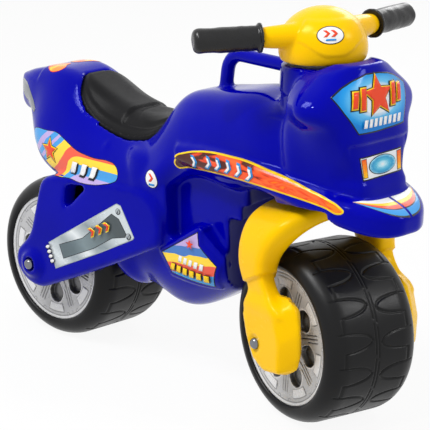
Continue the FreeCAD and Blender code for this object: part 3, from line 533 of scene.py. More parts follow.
def sticker(name, view, layers, inks, measure=None, skin=body_skin, body="chassis", slot="blue_plastic"):
    """Prints the layers in turn on the skin as it is seen along the view, each a film of its own.
    measure turns a place on the outline, in millimetres, into the print's own two coordinates."""
    ahead, right = view
    up = right.cross(ahead)
    whole = bmesh.new()
    for rank, one in enumerate(layers):
        bm = flat_outline(one["points"], one["smooth"])
        for face in bm.faces:
            face.material_index = one["ink"]
        if one["border"]:
            ring = bmesh.ops.inset_region(bm, faces=bm.faces[:], thickness=one["border"] * MM,
                                          use_even_offset=True, use_boundary=True)
            for face in ring["faces"]:
                face.material_index = one["border_ink"]
        low = [min(v.co[axis] for v in bm.verts) for axis in (0, 1)]
        high = [max(v.co[axis] for v in bm.verts) for axis in (0, 1)]
        for axis in (0, 1):
            normal = Vector((1, 0, 0)) if axis == 0 else Vector((0, 1, 0))
            cuts = int((high[axis] - low[axis]) / (one["fine"] * MM))
            for cut in range(1, cuts + 1):
                place = normal * (low[axis] + (high[axis] - low[axis]) * cut / (cuts + 1))
                geometry = bm.verts[:] + bm.edges[:] + bm.faces[:]
                bmesh.ops.bisect_plane(bm, geom=geometry, plane_co=place, plane_no=normal, dist=1e-6)
        missed = []
        depths = KDTree(len(bm.verts))
        height = FILM_LIFT + FILM_STEP * rank
        for vert in bm.verts:
            flat = Vector((vert.co.x, vert.co.y, 0))
            start = right * flat.x + up * flat.y - ahead * RAY_START
            place, normal, _, depth = skin.ray_cast(start, ahead)
            if place is None:
                missed.append((vert, flat))
                continue
            depths.insert(flat, int(depth / MM * DEPTH_STEPS))
            vert.co = place + normal * height
        depths.balance()
        for vert, flat in missed:
            depth = depths.find(flat)[1] * MM / DEPTH_STEPS
            start = right * flat.x + up * flat.y + ahead * (depth - RAY_START)
            place, normal, _, _ = skin.find_nearest(start)
            vert.co = place + normal * height
        bm.normal_update()
        if sum(face.normal.dot(ahead) for face in bm.faces) > 0:
            bmesh.ops.reverse_faces(bm, faces=bm.faces[:])
        bmesh.ops.triangulate(bm, faces=bm.faces[:])
        bmesh.ops.solidify(bm, geom=bm.faces[:], thickness=FILM)
        bmesh.ops.recalc_face_normals(bm, faces=bm.faces[:])
        part = mesh_from("film", bm)
        whole.from_mesh(part)
        bpy.data.meshes.remove(part)
    print_map = whole.loops.layers.uv.new("print")
    for face in whole.faces:
        for loop in face.loops:
            across, high_up = loop.vert.co.dot(right) / MM, loop.vert.co.dot(up) / MM
            loop[print_map].uv = measure(across, high_up) if measure else (across / 100, high_up / 100)
    return finished(name, whole, inks, body, slot)


def ink(name, low, high, colour=None, rough=(0.16, 0.26), **uniform):
    uniform.setdefault("Specular_IOR_Level", 0.3)
    return plastic(name, low, high, rough, grain=2200.0, bump=0.05, colour=colour, **uniform)


def colour_ramp(tree, value, stops, soft=True):
    """The colour that belongs to a value from 0 to 1; stops are (place, colour)."""
    ramp = node(tree, "ShaderNodeValToRGB", (0, value))
    ramp.color_ramp.interpolation = "LINEAR" if soft else "CONSTANT"
    while len(ramp.color_ramp.elements) < len(stops):
        ramp.color_ramp.elements.new(1.0)
    for element, (where, _) in zip(ramp.color_ramp.elements, stops):
        element.position = where
    for element, (_, colour) in zip(ramp.color_ramp.elements, stops):
        element.color = colour
    return ramp.outputs[0]


def bands(stops, direction, wobble=0.0, scale=20.0, soft=False):
    """Colour bands across the print's own coordinates, their edges wavy by the wobble."""
    def pattern(tree, base):
        place = node(tree, "ShaderNodeUVMap", uv_map="print").outputs[0]
        along = node(tree, "ShaderNodeVectorMath", (0, place), (1, direction), operation="DOT_PRODUCT")
        value = along.outputs["Value"]
        if wobble:
            wave = node(tree, "ShaderNodeTexNoise", ("Vector", place), ("Scale", scale), ("Detail", 2.0))
            value = maths(tree, "ADD", value, ranged(tree, wave.outputs["Fac"], -wobble, wobble))
        return tinted(tree, 0.94, base, colour_ramp(tree, value, stops, soft))
    return pattern


WHITE = paint(244, 244, 244)
PALE = paint(226, 232, 240)
YELLOW = paint(255, 214, 0)
ORANGE = paint(255, 140, 10)
RED = paint(240, 72, 30)
SKY_BLUE = paint(20, 150, 225)
DEEP_SKY = paint(10, 105, 190)
LILAC = paint(186, 162, 220)
INK_BLACK = paint(14, 14, 20)

white_ink = ink("white_ink", paint(236, 236, 236), WHITE)
yellow_ink = ink("yellow_ink", paint(250, 206, 0), YELLOW)
red_ink = ink("red_ink", paint(232, 64, 24), RED)
dark_ink = ink("dark_ink", paint(10, 12, 28), INK_BLACK)
sky_ink = ink("sky_ink", paint(14, 140, 214), SKY_BLUE)

FROM_FRONT = (Vector((-1, 0, 0)), Vector((0, 1, 0)))
FROM_TOP = (Vector((0, 0, -1)), Vector((0, -1, 0)))
FROM_RIGHT = (Vector((0, 1, 0)), Vector((1, 0, 0)))
FROM_LEFT = (Vector((0, -1, 0)), Vector((-1, 0, 0)))


def both_sides(name, layers, inks, measure=None):
    """The same sticker on the right side and, mirrored, on the left."""
    sticker(name + "_right", FROM_RIGHT, layers, inks, measure)
    mirrored = []
    for one in layers:
        mirrored.append(dict(one, points=[(-a, b) for a, b in one["points"]]))
    turned = (lambda a, b: measure(-a, b)) if measure else None
    sticker(name + "_left", FROM_LEFT, mirrored, inks, turned)


# Number-plate place on the cowl: a sky-blue field that glows white in its middle, a star with
# slanted bars beside it, and a row of small white bars below.
PLATE = [(-66, 422.8), (-50, 432.5), (-35.1, 439.2), (-14.1, 445), (7.9, 444.1), (25, 441), (38.5, 436.5),
         (62, 423.8), (43.5, 379.4), (20, 378.2), (-10, 377), (-38.4, 377.6), (-46.9, 391.5), (-55.5, 403.9)]
plate_ink = ink("plate_ink", SKY_BLUE, SKY_BLUE, bands(
    [(0.0, WHITE), (0.42, WHITE), (0.62, paint(110, 200, 245)), (0.85, SKY_BLUE), (1.0, paint(0, 120, 205))],
    (1, 0, 0), wobble=0.10, scale=6.0, soft=True))
plate_layers = [sharp(PLATE, 1, border=1.6)]
STAR_PLACE = (-1, 418)
for grow, colour in ((2.6, 0), (1.3, 2), (0.0, 3)):
    plate_layers.append(sharp(star(STAR_PLACE, 24 + grow * 1.6, 11 + grow), colour))
    for side in (-1, 1):
        for place, tall in ((25.5, 12), (37.0, 9)):
            bar = slanted_bar((STAR_PLACE[0] + side * place, 417), (3.4 + grow, tall + grow), 3.0)
            plate_layers.append(sharp(bar, colour))
for place in range(-28, 29, 8):
    plate_layers.append(sharp(slanted_bar((place, 389), (2.6, 4.8), 1.2), 4))
sticker("plate_sticker", FROM_FRONT, plate_layers, [dark_ink, plate_ink, yellow_ink, red_ink, white_ink],
        lambda a, b: (math.hypot((a + 2) / 62, (b - 414) / 34), 0.0))

# Lamp sticker on the box under the cowl: a pale field in a dark frame, a cyan lens with a white
# middle, and an amber indicator at each end.
LAMP = [(-37.5, 350), (37.5, 351.5), (36.0, 323.5), (-34.0, 322.0)]
lens_rays = bands([(0.0, WHITE), (0.22, paint(190, 236, 246)), (0.5, paint(90, 190, 220)),
                   (0.8, paint(40, 150, 200)), (1.0, paint(160, 225, 240))], (1, 0, 0), wobble=0.2,
                  scale=14.0, soft=True)
field_ink = ink("field_ink", PALE, WHITE)
lens_ink = ink("lens_ink", SKY_BLUE, SKY_BLUE, lens_rays)
amber_rays = bands([(0.0, YELLOW), (0.5, ORANGE), (1.0, RED)], (0, 1, 0), wobble=0.3, scale=9.0, soft=True)
amber_ink = ink("amber_ink", ORANGE, ORANGE, amber_rays)
lamp_layers = [
    sharp(LAMP, 1, border=1.5),
    sharp([(-35.0, 347.5), (-26.5, 348), (-25.5, 325), (-32.5, 324.7)], 3, border=0.7),
    sharp([(27, 348.6), (35.5, 349), (34.4, 326), (26.2, 325.6)], 3, border=0.7),
    layer(ellipse((0, 337.2), (23.5, 11.4)), 0),
    layer(ellipse((0, 337.2), (22.7, 10.6)), 2, fine=2.0),
]
sticker("lamp_sticker", FROM_FRONT, lamp_layers, [dark_ink, field_ink, lens_ink, amber_ink],
        lambda a, b: (math.hypot(a / 23, (b - 337.2) / 11), (b - 323) / 28))

# Beak sticker: a crescent of bands from white inside to light blue outside, in two halves that
# leave the moulded ridge of the beak bare between them.
BEAK_BACK = 318.5
BEAK_HALF_WIDTH = 51.5
BEAK_REACH = 35.0
BEAK_SWEEP = 12
BEAK_RIDGE_HALF = 1.9
BEAK_ROWS = 14


def beak_back(y):
    return BEAK_BACK - BEAK_SWEEP * abs(y / BEAK_HALF_WIDTH) ** 3


def beak_front(y):
    return beak_back(y) + BEAK_REACH * (1 - abs(y / BEAK_HALF_WIDTH) ** 2.4)


def beak_half(side):
    """The outline of one half, from the ridge out along its back and in again along its front."""
    reach = BEAK_HALF_WIDTH - BEAK_RIDGE_HALF
    rows = [side * (BEAK_RIDGE_HALF + reach * step / BEAK_ROWS) for step in range(BEAK_ROWS + 1)]
    ring = [(beak_back(y), y) for y in rows] + [(beak_front(y), y) for y in reversed(rows[:-1])]
    return [(-y, x) for x, y in ring]


def beak_measure(a, b):
    y = -a
    deep = max(beak_front(y) - beak_back(y), 0.5)
    return (y / 50, min(max((b - beak_back(y)) / deep, 0.0), 0.999))


beak_bands = bands([(0.0, WHITE), (0.27, YELLOW), (0.45, RED), (0.66, INK_BLACK), (0.71, SKY_BLUE),
                    (0.96, INK_BLACK)], (0, 1, 0))
beak_ink = ink("beak_ink", WHITE, WHITE, beak_bands)
for word, side in (("left", 1), ("right", -1)):
    sticker("beak_sticker_" + word, FROM_TOP, [sharp(beak_half(side), 0, fine=1.6)],
            [beak_ink], beak_measure)

# Flame stripe along the side ledge: yellow border, black to red-orange flames, and a row of
# white chevrons edged in blue.
STRIPE_TOP = [(36.9, 308.6), (54.1, 316.6), (79.6, 323.4), (103.9, 326.8), (134.6, 327.6), (159.3, 326.8),
              (193.8, 322), (223.3, 316.8), (253.1, 309.3), (280, 302.3), (300.4, 294), (303.8, 290.4)]
STRIPE_LOW = [(298.9, 286.2), (279.3, 290.6), (249.6, 294.8), (219.7, 298.2), (176.9, 301.6),
              (139.7, 301.7), (99.2, 300), (52.8, 294), (29, 292.8)]


def level_at(line, a):
    """Height of an outline's line at a place along the bike."""
    line = sorted(line)
    for (x0, z0), (x1, z1) in zip(line, line[1:]):
        if a <= x1:
            break
    return z0 + (z1 - z0) * min(max((a - x0) / (x1 - x0), 0.0), 1.0)


def stripe_measure(a, b):
    low, high = level_at(STRIPE_LOW, a), level_at(STRIPE_TOP, a)
    return ((a - 29) / 275, (b - low) / max(high - low, 1.0))


def flames(tree, base):
    place = node(tree, "ShaderNodeUVMap", uv_map="print").outputs[0]
    long_way = node(tree, "ShaderNodeMapping", ("Vector", place), ("Scale", (5.0, 1.6, 1.0)))
    wave = node(tree, "ShaderNodeTexNoise", ("Vector", long_way.outputs[0]), ("Scale", 1.7),
                ("Detail", 3.0), ("Distortion", 0.7))
    along = node(tree, "ShaderNodeSeparateXYZ", (0, place)).outputs["X"]
    heat = maths(tree, "ADD", wave.outputs["Fac"], ranged(tree, along, -0.24, 0.22))
    stops = [(0.0, INK_BLACK), (0.36, paint(60, 20, 14)), (0.44, RED), (0.58, paint(250, 110, 50)),
             (0.66, RED), (0.78, ORANGE)]
    return tinted(tree, 0.95, base, colour_ramp(tree, heat, stops))


flame_ink = ink("flame_ink", RED, RED, flames)
stripe_layers = [layer(STRIPE_TOP + STRIPE_LOW, 1, border=2.0)]
for size, colour in (((6.6, 8.2), 2), ((4.4, 5.8), 3)):
    for place, high, lean in ((72, 308, 0.1), (100, 312, -0.12), (118, 313.5, -0.12), (136, 314, -0.12),
                              (154, 313.5, -0.12), (172, 312, -0.12)):
        stripe_layers.append(sharp(chevron((place, high), size, lean), colour))
both_sides("stripe_sticker", stripe_layers, [yellow_ink, flame_ink, sky_ink, white_ink], stripe_measure)

# Leaf-shaped sticker on the flank: slanting bands of lilac, blue, yellow and red with a star and
# three white bars.
LEAF = [(-253.4, 279.7), (-206, 293.9), (-193.5, 293.7), (-179.3, 289), (-165.1, 283.4), (-149.2, 278.3),
        (-134.6, 276), (-116.1, 274.5), (-94.2, 275.1), (-79.2, 272.3), (-71, 264.4), (-71.4, 254.6),
        (-78.8, 249.1), (-92.5, 244.6), (-109.5, 241.1), (-131.9, 239.8), (-153.8, 241.2), (-170, 240),
        (-188.7, 239.5), (-205, 243), (-222, 251), (-238, 262)]
leaf_bands = bands([(0.0, SKY_BLUE), (0.05, LILAC), (0.11, SKY_BLUE), (0.17, LILAC), (0.21, SKY_BLUE),
                    (0.27, YELLOW), (0.40, RED), (0.56, YELLOW), (0.67, SKY_BLUE), (0.84, LILAC)],
                   (1.0, 0.0, 0), wobble=0.035, scale=4.0)


def leaf_measure(a, b):
    """Bands that cross the leaf behind and turn to run along it in front."""
    crossing = (a + 253 - 1.1 * (b - 265)) / 190
    along = 0.34 + 0.60 * (290 - b) / 50
    turn = smoothstep(-180, -138, a)
    return (crossing * (1 - turn) + along * turn, (b - 240) / 60)


leaf_ink = ink("leaf_ink", WHITE, WHITE, leaf_bands)
leaf_layers = [layer(LEAF, 1, border=0.8)]
for grow, colour in ((3.0, 0), (1.8, 2), (0.0, 3)):
    leaf_layers.append(sharp(star((-205, 268), 15 + grow * 1.5, 6.5 + grow), colour))
for shift, high, half, colour in ((1.5, 254.0, (5.2, 8.5), 0), (0.0, 255.5, (4.6, 8.0), 4)):
    for place in (-152, -133, -114):
        leaf_layers.append(sharp(slanted_bar((place + shift, high), half, 3), colour))
both_sides("leaf_sticker", leaf_layers, [dark_ink, leaf_ink, yellow_ink, red_ink, white_ink],
           leaf_measure)

# Brushed-metal plate print on each rear arm: silver frame with a screw in each front corner,
# a dark inset field with orange chevrons, and slots at its rear end.
ARM_PLATE = [(-67.4, 224.7), (-59.9, 223.4), (-36.4, 185), (-38.8, 181.6), (-99.4, 150.2), (-178.1, 112.2),
             (-190.8, 146.6)]
INSET = [(-76, 209.5), (-63, 205), (-50, 187), (-52, 182), (-75, 176), (-108, 155), (-163, 129.5),
         (-171, 148), (-128, 166), (-104, 186)]
brushed = bands([(0.0, paint(120, 134, 140)), (0.2, paint(214, 222, 226)), (0.38, paint(150, 162, 168)),
                 (0.55, paint(228, 234, 236)), (0.75, paint(132, 146, 152)), (1.0, paint(205, 214, 218))],
                (0.75, 0.66, 0), wobble=0.12, scale=4.0, soft=True)
inset_look = bands([(0.0, paint(40, 60, 66)), (0.4, paint(70, 92, 100)), (0.6, paint(110, 130, 136)),
                    (1.0, paint(36, 54, 60))], (0.75, 0.66, 0), wobble=0.1, scale=4.0, soft=True)
silver_ink = ink("silver_ink", WHITE, WHITE, brushed, rough=(0.22, 0.34), Metallic=0.25)
inset_ink = ink("inset_ink", WHITE, WHITE, inset_look)
rivet_ink = ink("rivet_ink", paint(150, 160, 165), paint(190, 198, 202), Metallic=0.3)
arm_layers = [
    sharp(ARM_PLATE, 1, border=1.3, border_ink=3),
    sharp(INSET, 2, border=0.8),
]
for screw in ((-64.5, 214.5), (-46, 184.5)):
    arm_layers.append(layer(ellipse(screw, (4.2, 4.2)), 0))
    arm_layers.append(layer(ellipse((screw[0] - 0.3, screw[1] + 0.3), (3.4, 3.4)), 3))
    arm_layers.append(sharp(slanted_bar(screw, (0.5, 3.0), 1.2), 0))
for share in (0.16, 0.38, 0.60, 0.82):
    slot_place = (-181.0 - 10.5 * share, 117.5 + 28.5 * share)
    arm_layers.append(layer(ellipse(slot_place, (4.6, 3.0), 0.45), 0))
    arm_layers.append(layer(ellipse((slot_place[0], slot_place[1] + 0.4), (3.7, 2.2), 0.45), 4))
for size, colour in (((6.0, 6.6), 5), ((4.4, 4.8), 6)):
    for rank in range(3):
        arrow = chevron((-82 - 13.0 * rank, 191 - 6.3 * rank), size, 0.48)
        arm_layers.append(sharp(arrow, colour))
both_sides("arm_plate_sticker", arm_layers,
           [dark_ink, silver_ink, inset_ink, rivet_ink, white_ink, yellow_ink, red_ink],
           lambda a, b: ((a + 191) / 155, (b - 112) / 113))

# Five-sided sticker on the engine panel, in waves of lilac, blue, yellow and red, with two
# rows of plain bars.
panel_bands = bands([(0.0, SKY_BLUE), (0.15, RED), (0.33, YELLOW), (0.50, DEEP_SKY), (0.66, LILAC)],
                    (0.0, 1.0, 0), wobble=0.09, scale=1.6)
panel_ink = ink("panel_ink", WHITE, WHITE, panel_bands)
panel_layers = [sharp(PANEL, 1, border=1.2)]
PANEL_BARS = [(5, (34, 170), 9.5, (2.9, 4.4), 2), (6, (22, 157), 11.5, (4.4, 5.2), 0),
              (6, (21.4, 157.6), 11.5, (3.7, 4.5), 3)]
for count, first, step, half, colour in PANEL_BARS:
    for rank in range(count):
        middle = (first[0] + step * rank, first[1] - 0.6 * rank)
        panel_layers.append(sharp(slanted_bar(middle, half, 1.2), colour))
panel_layers.append(sharp(star((55, 195), 7, 3), 4))
both_sides("panel_sticker", panel_layers, [dark_ink, panel_ink, white_ink, yellow_ink, red_ink],
           lambda a, b: (a / 60, (b - 141) / 73 - (a - 45) / 600))

# Small oval badge below the seat: white with a thin dark ring, a red chevron and a blue dash.
BADGE = (-10, 268)
badge_layers = [
    layer(ellipse(BADGE, (10.2, 12.4)), 1, border=0.9, fine=3.0),
    sharp(chevron((BADGE[0], BADGE[1] + 1.5), (4.6, 5.2)), 2),
    sharp(slanted_bar((BADGE[0], BADGE[1] - 7.5), (4.2, 1.3), 0.4), 3),
]
both_sides("badge_sticker", badge_layers, [dark_ink, white_ink, red_ink, sky_ink])

# Tail stickers: a small flame on each half of the tail's top, and a silver lamp shape that wraps
# round each rear corner below it.
TAIL_FLAME = [(-257, -36.5), (-264, -27), (-265, -9.5), (-256, -5), (-248, -5), (-240, -18),
              (-231, -33.0), (-238, -40.0)]
tail_bands = bands([(0.0, YELLOW), (0.35, ORANGE), (0.55, RED), (0.75, YELLOW), (0.9, ORANGE)],
                   (0.8, 0.5, 0), wobble=0.14, scale=9.0, soft=True)
tail_ink = ink("tail_ink", WHITE, WHITE, tail_bands)
for word, side in (("right", 1), ("left", -1)):
    sticker("tail_flame_" + word, FROM_TOP,
            [layer([(-y * side, x) for x, y in TAIL_FLAME], 1, border=0.8)],
            [red_ink, tail_ink],
            lambda a, b: ((b + 266) / 36, abs(a) / 42))
REAR_LAMP = [(-192, 342), (-180, 340), (-174, 336), (-160, 325), (-141, 311), (-143, 306), (-160, 309),
             (-185, 316), (-200, 326), (-203, 338)]
DIAGONAL = math.sqrt(0.5)
lamp_silver = bands([(0.0, paint(120, 124, 130)), (0.5, paint(232, 234, 236)), (1.0, paint(150, 154, 160))],
                    (0.3, 1.0, 0), wobble=0.05, scale=6.0, soft=True)
rear_ink = ink("rear_ink", WHITE, WHITE, lamp_silver, Metallic=0.3)
for word, side in (("right", 1), ("left", -1)):
    ahead = Vector((DIAGONAL, side * DIAGONAL, 0))
    right = Vector((DIAGONAL * side, -DIAGONAL, 0))
    ring = [(side * across, z) for across, z in REAR_LAMP]
    sticker("rear_lamp_" + word, (ahead, right), [sharp(ring, 0)], [rear_ink],
            lambda a, b: (a / 60, (b - 305) / 33))


# Fittings that keep their CAD shape: white flanged bushes in the neck and the wheels, steel rods
# for axles with a flat washer and a domed chrome nut on each end, hub tubes and the stem's bolt.
def dress(look, slot, *names):
    """A CAD node whose shape is right stays and gets its own material."""
    for name in names:
        mesh = frame["nodes"][name].data
        if not mesh.materials:
            mesh.materials.append(look)
        for index in range(len(mesh.materials)):
            mesh.materials[index] = look


bush_white = plastic("bush_white", paint(205, 205, 202), paint(226, 226, 222), (0.35, 0.5), bump=0.2)
zinc = plastic("zinc_steel", paint(150, 152, 156), paint(190, 192, 196), (0.22, 0.38), grain=1600.0,
               bump=0.15, Metallic=1.0)
chrome = plastic("nut_chrome", paint(96, 98, 104), paint(150, 152, 158), (0.05, 0.12), bump=0.04,
                 Metallic=1.0)
dress(bush_white, "bush_plastic", "head_bush_lower", "head_bush_upper", "rear_bush_left",
      "rear_bush_right", "front_bush_left", "front_bush_right")
dress(zinc, "steel", "rear_axle", "front_axle", "rear_axle_washers", "front_axle_washers", "stem_bolt",
      "rear_hub_tube", "front_hub_tube")
dress(chrome, "nut_chrome", "rear_axle_nuts", "front_axle_nuts")


# Tyres: wide hollow blown rings of black plastic with a satin face. Leaf-shaped grooves run in
# from both shoulders to a pair of fine lines round the middle.
def spun(profile, steps):
    """A ring turned about Y from its closed outline of (across, out) points in millimetres."""
    bm = bmesh.new()
    verts = [bm.verts.new((out * MM, across * MM, 0)) for across, out in profile]
    edges = [bm.edges.new((verts[i - 1], verts[i])) for i in range(len(verts))]
    bmesh.ops.spin(bm, geom=verts + edges, cent=(0, 0, 0), axis=(0, 1, 0), angle=2 * math.pi,
                   steps=steps, use_merge=True)
    bmesh.ops.remove_doubles(bm, verts=bm.verts, dist=0.01 * MM)
    bmesh.ops.recalc_face_normals(bm, faces=bm.faces[:])
    return bm


WHEEL_RADIUS = 110.0
TYRE_HALF = 65.0
SHOULDER_ACROSS = 27.0
SHOULDER_DOWN = 20.0
BEAD_OUT = 86.2
TREAD_STEPS = 720
SHOULDER_POINTS = 22
TREAD_POINTS = 68
LEAVES = 16
LEAF_TIP = 7.0
LEAF_FOOT = 46.0
LEAF_TAIL = 54.0
LEAF_HALF = 12.0
LEAF_STAGGER = 0.06
TIP_REACH = 2
TIP_SLOPE = 1.2
GROOVE_FLOOR = 0.35
GROOVE_HALF_WIDTH = 1.25
GROOVE_DEPTH = 1.5
FINE_LINE_SHARE = 0.44
FINE_LINE_EASE = 0.3
BEAD_LIP = [(-62.0, BEAD_OUT), (-64.0, BEAD_OUT + 0.9)]
INNER_WALL = [(54, BEAD_OUT), (54, 91), (46, 104), (-46, 104), (-54, 91), (-54, BEAD_OUT)]
TREAD_LOWEST = 97
INNER_TOP = (104.5, 47)
FINE_LINE = 4 * (TYRE_HALF - SHOULDER_ACROSS) / TREAD_POINTS


def tyre_profile():
    """The tyre's section: both shoulders and the tread in fine points, the inside in few."""
    outer = []
    for step in range(SHOULDER_POINTS + 1):
        angle = math.pi / 2 * step / SHOULDER_POINTS
        outer.append((-TYRE_HALF + SHOULDER_ACROSS * (1 - math.cos(angle)),
                      WHEEL_RADIUS - SHOULDER_DOWN * (1 - math.sin(angle))))
    flat = TYRE_HALF - SHOULDER_ACROSS
    tread = [(-flat + 2 * flat * step / TREAD_POINTS, WHEEL_RADIUS) for step in range(1, TREAD_POINTS)]
    other = [(-across, out) for across, out in reversed(BEAD_LIP + outer)]
    return BEAD_LIP + outer + tread + other + INNER_WALL


def groove(around, across):
    """How deep a groove is, from 0 to 1, at a place round the tyre and across it, in millimetres."""
    pitch = 2 * math.pi * WHEEL_RADIUS / LEAVES
    stagger = LEAF_STAGGER * pitch if across > 0 else -LEAF_STAGGER * pitch
    place = (around + stagger + pitch / 2) % pitch - pitch / 2
    off = abs(across)
    near = math.inf
    tail = LEAF_TAIL if place > 0 else LEAF_FOOT
    if LEAF_TIP - TIP_REACH < off < tail:
        share = min(max((off - LEAF_TIP) / (LEAF_FOOT - LEAF_TIP), 0.0), 1.0)
        bow = LEAF_HALF * math.sqrt(max(1 - (1 - share) ** 2, 0.0))
        slope = 1 + (1 - share) * TIP_SLOPE
        near = abs(abs(place) - bow) / slope
    if abs(place) > LEAF_HALF:
        near = min(near, abs(off - LEAF_FOOT))
    if abs(place) < pitch * FINE_LINE_SHARE:
        near = min(near, abs(off - FINE_LINE) + FINE_LINE_EASE)
    return 1 - smoothstep(GROOVE_FLOOR, GROOVE_HALF_WIDTH, near)


def tyre_mesh():
    bm = spun(tyre_profile(), TREAD_STEPS)
    depth_of = bm.verts.layers.float.new("groove")
    for vert in bm.verts:
        x, y, z = vert.co / MM
        out = math.hypot(x, z)
        if out < TREAD_LOWEST or (out < INNER_TOP[0] and abs(y) < INNER_TOP[1]):
            continue
        deep = groove(math.atan2(z, x) * WHEEL_RADIUS, y)
        if deep > 0:
            vert[depth_of] = deep
            shrink = 1 - GROOVE_DEPTH * deep / out
            vert.co.x *= shrink
            vert.co.z *= shrink
    return mesh_from("tyre", bm)


def groove_shade(tree, base):
    """Dust and shade darken the grooves."""
    deep = node(tree, "ShaderNodeAttribute", attribute_name="groove").outputs["Fac"]
    return tinted(tree, deep, base, paint(8, 8, 8))


tyre_black = plastic("tyre_black", paint(17, 17, 18), paint(25, 25, 26), (0.30, 0.42), grain=1100.0,
                     bump=0.2, colour=groove_shade, Specular_IOR_Level=0.18)
tyre_shape = tyre_mesh()
spin = Vector(joints["front_wheel_spin"]["axis"]).normalized()
head = Vector(joints["steering_turn"]["axis"]).normalized()
FRONT = placed(spin.cross(head), spin, head, Vector(joints["front_wheel_spin"]["pos_m"]))
REAR = Matrix.Translation(Vector(joints["rear_wheel_spin"]["pos_m"]))
FRONT_TURN = math.radians(6.7)
REAR_TURN = math.radians(3.0)


def wheel_copy(name, mesh, place, turn, look, body, slot, nodes):
    bm = bmesh.new()
    bm.from_mesh(mesh)
    bmesh.ops.transform(bm, matrix=place @ Matrix.Rotation(-turn, 4, "Y"), verts=bm.verts)
    finished(name, bm, look, body, slot, *nodes)


wheel_copy("rear_tread", tyre_shape, REAR, REAR_TURN, tyre_black, "rear_wheel", "tyre_black",
           ["rear_tyre"])
wheel_copy("front_tread", tyre_shape, FRONT, FRONT_TURN, tyre_black, "front_wheel", "tyre_black",
           ["front_tyre"])


# Rims: silver pressed discs, one in each bead, with seven egg-shaped windows, a pad above each window,
# bright with painted highlight, twin spokes with slits between them and a rivet at each spoke's end. The
# windows, slits and grooves carry painted shade, the window lips and the outer ring painted highlight.
RIM_STEPS = 560
RIM_RINGS = 64
RIM_INNER = 13.0
RIM_OUTER = 85.9
RIM_FACE = 60.5
RIM_BACK = 50.0
WINDOWS = 7
WINDOW_DEPTH = 6.0
WINDOW_MIDDLE = 48.5
WINDOW_LONG = 15.0
WINDOW_HALF = (10.0, 4.0)
WINDOW_WIDENS = (36, 54)
LIP_END = 1.16
PAD_LOW, PAD_HIGH = 64.5, 77.5
PAD_HALF = 13.0
SLIT_RUN = (33, 71)
TWIN_SLIT_START = 46
TWIN_SLIT_OFF = 4.6
RIVET_PLACE = (79.5, 10.5)
RIVET_RADIUS, RIVET_HEAD = 2.6, 1.5
RING_IN, RING_OUT = 80.8, 82.2
BOSS_OUT, BOSS_FOOT = 27, 29


def rim_relief(out, around):
    """Height in millimetres over the face and painted light from 0 to 1 at a place on the rim: painted shade
    in the sunk places, painted highlight on the raised ones. Later forms lie over earlier ones; a window is
    cut through all of them."""
    pitch = 2 * math.pi / WINDOWS
    wide = out * math.sin((around + pitch / 2) % pitch - pitch / 2)
    spoke = out * math.sin((around + pitch) % pitch - pitch / 2)
    height = -1.2 * smoothstep(80.0, 76.0, out) - 2.0 * smoothstep(74.0, 40.0, out)
    painted_light = 0.66
    half = WINDOW_HALF[0] + WINDOW_HALF[1] * smoothstep(*WINDOW_WIDENS, out)
    oval = math.hypot((out - WINDOW_MIDDLE) / WINDOW_LONG, wide / half)
    # The window: sunk, with painted shade, a little lighter in its middle.
    if oval < 1.0:
        sunk = WINDOW_DEPTH * smoothstep(1.0, 0.90, oval)
        return height - sunk, 0.07 + 0.16 * smoothstep(0.75, 0.35, oval)
    # The lip round the window: painted shade at its inner edge, painted highlight on its crest.
    if oval < LIP_END:
        half_lip = (LIP_END - 1) / 2
        height += 1.0 * (1 - abs(oval - 1 - half_lip) / half_lip)
        painted_light = 0.2 if oval < 1.04 else 1.0
    pad_half = PAD_HALF + (out - 66) * 0.30
    # The raised pad: painted highlight on its face, painted shade round its edge.
    if PAD_LOW < out < PAD_HIGH and abs(wide) < pad_half:
        edge = min(out - PAD_LOW, PAD_HIGH - out, pad_half - abs(wide))
        height += 0.8 * smoothstep(0.4, 1.4, edge) - 1.0 * smoothstep(1.0, 0.2, edge)
        painted_light = 0.15 + 0.85 * smoothstep(0.5, 1.6, edge)
    # The slits between the spokes: painted shade.
    if SLIT_RUN[0] < out < SLIT_RUN[1]:
        twin = abs(abs(spoke) - TWIN_SLIT_OFF) / 0.7 if out > TWIN_SLIT_START else math.inf
        cut = 1 - smoothstep(0.5, 1.3, min(abs(spoke) / 0.9, twin))
        height -= 1.6 * cut
        painted_light *= 1 - 0.80 * cut
    # The rivet: painted shade round its head.
    rivet = math.hypot(out - RIVET_PLACE[0], abs(spoke) - RIVET_PLACE[1])
    if rivet < RIVET_RADIUS:
        painted_light = 0.35 if rivet > RIVET_HEAD else 0.8
        height -= 0.5 if rivet > RIVET_HEAD else 0.1
    # The outer ring with painted highlight, and the groove inside it with painted shade.
    if out > RING_OUT:
        height += 0.6
        painted_light = 1.0
    elif out > RING_IN:
        height -= 0.8
        painted_light = 0.2
    # The raised boss, and the groove round its foot with painted shade.
    if out < BOSS_OUT:
        height += 2.2 * smoothstep(27, 24, out)
    elif out < BOSS_FOOT:
        height -= 0.8
        painted_light = 0.4
    return height, painted_light


def rim_mesh():
    """The rim for the +Y side; its face is sculpted, its back is plain."""
    face = [(RIM_FACE, RIM_OUTER - (RIM_OUTER - RIM_INNER) * step / RIM_RINGS)
            for step in range(RIM_RINGS + 1)]
    back = [(RIM_BACK, RIM_INNER), (RIM_BACK, 30.0), (RIM_BACK, 66.0), (RIM_BACK + 2, RIM_OUTER)]
    bm = spun(face + back, RIM_STEPS)
    # Painted light on the face: shade in the sunk places, highlight on the raised ones; the back gets a
    # middle tone.
    painted_light_of = bm.verts.layers.float.new("painted_light")
    for vert in bm.verts:
        x, y, z = vert.co / MM
        vert[painted_light_of] = 0.5
        if y < RIM_FACE - 0.1:
            continue
        height, painted_light = rim_relief(math.hypot(x, z), math.atan2(z, x))
        vert.co.y += height * MM
        vert[painted_light_of] = painted_light
    return mesh_from("rim", bm)


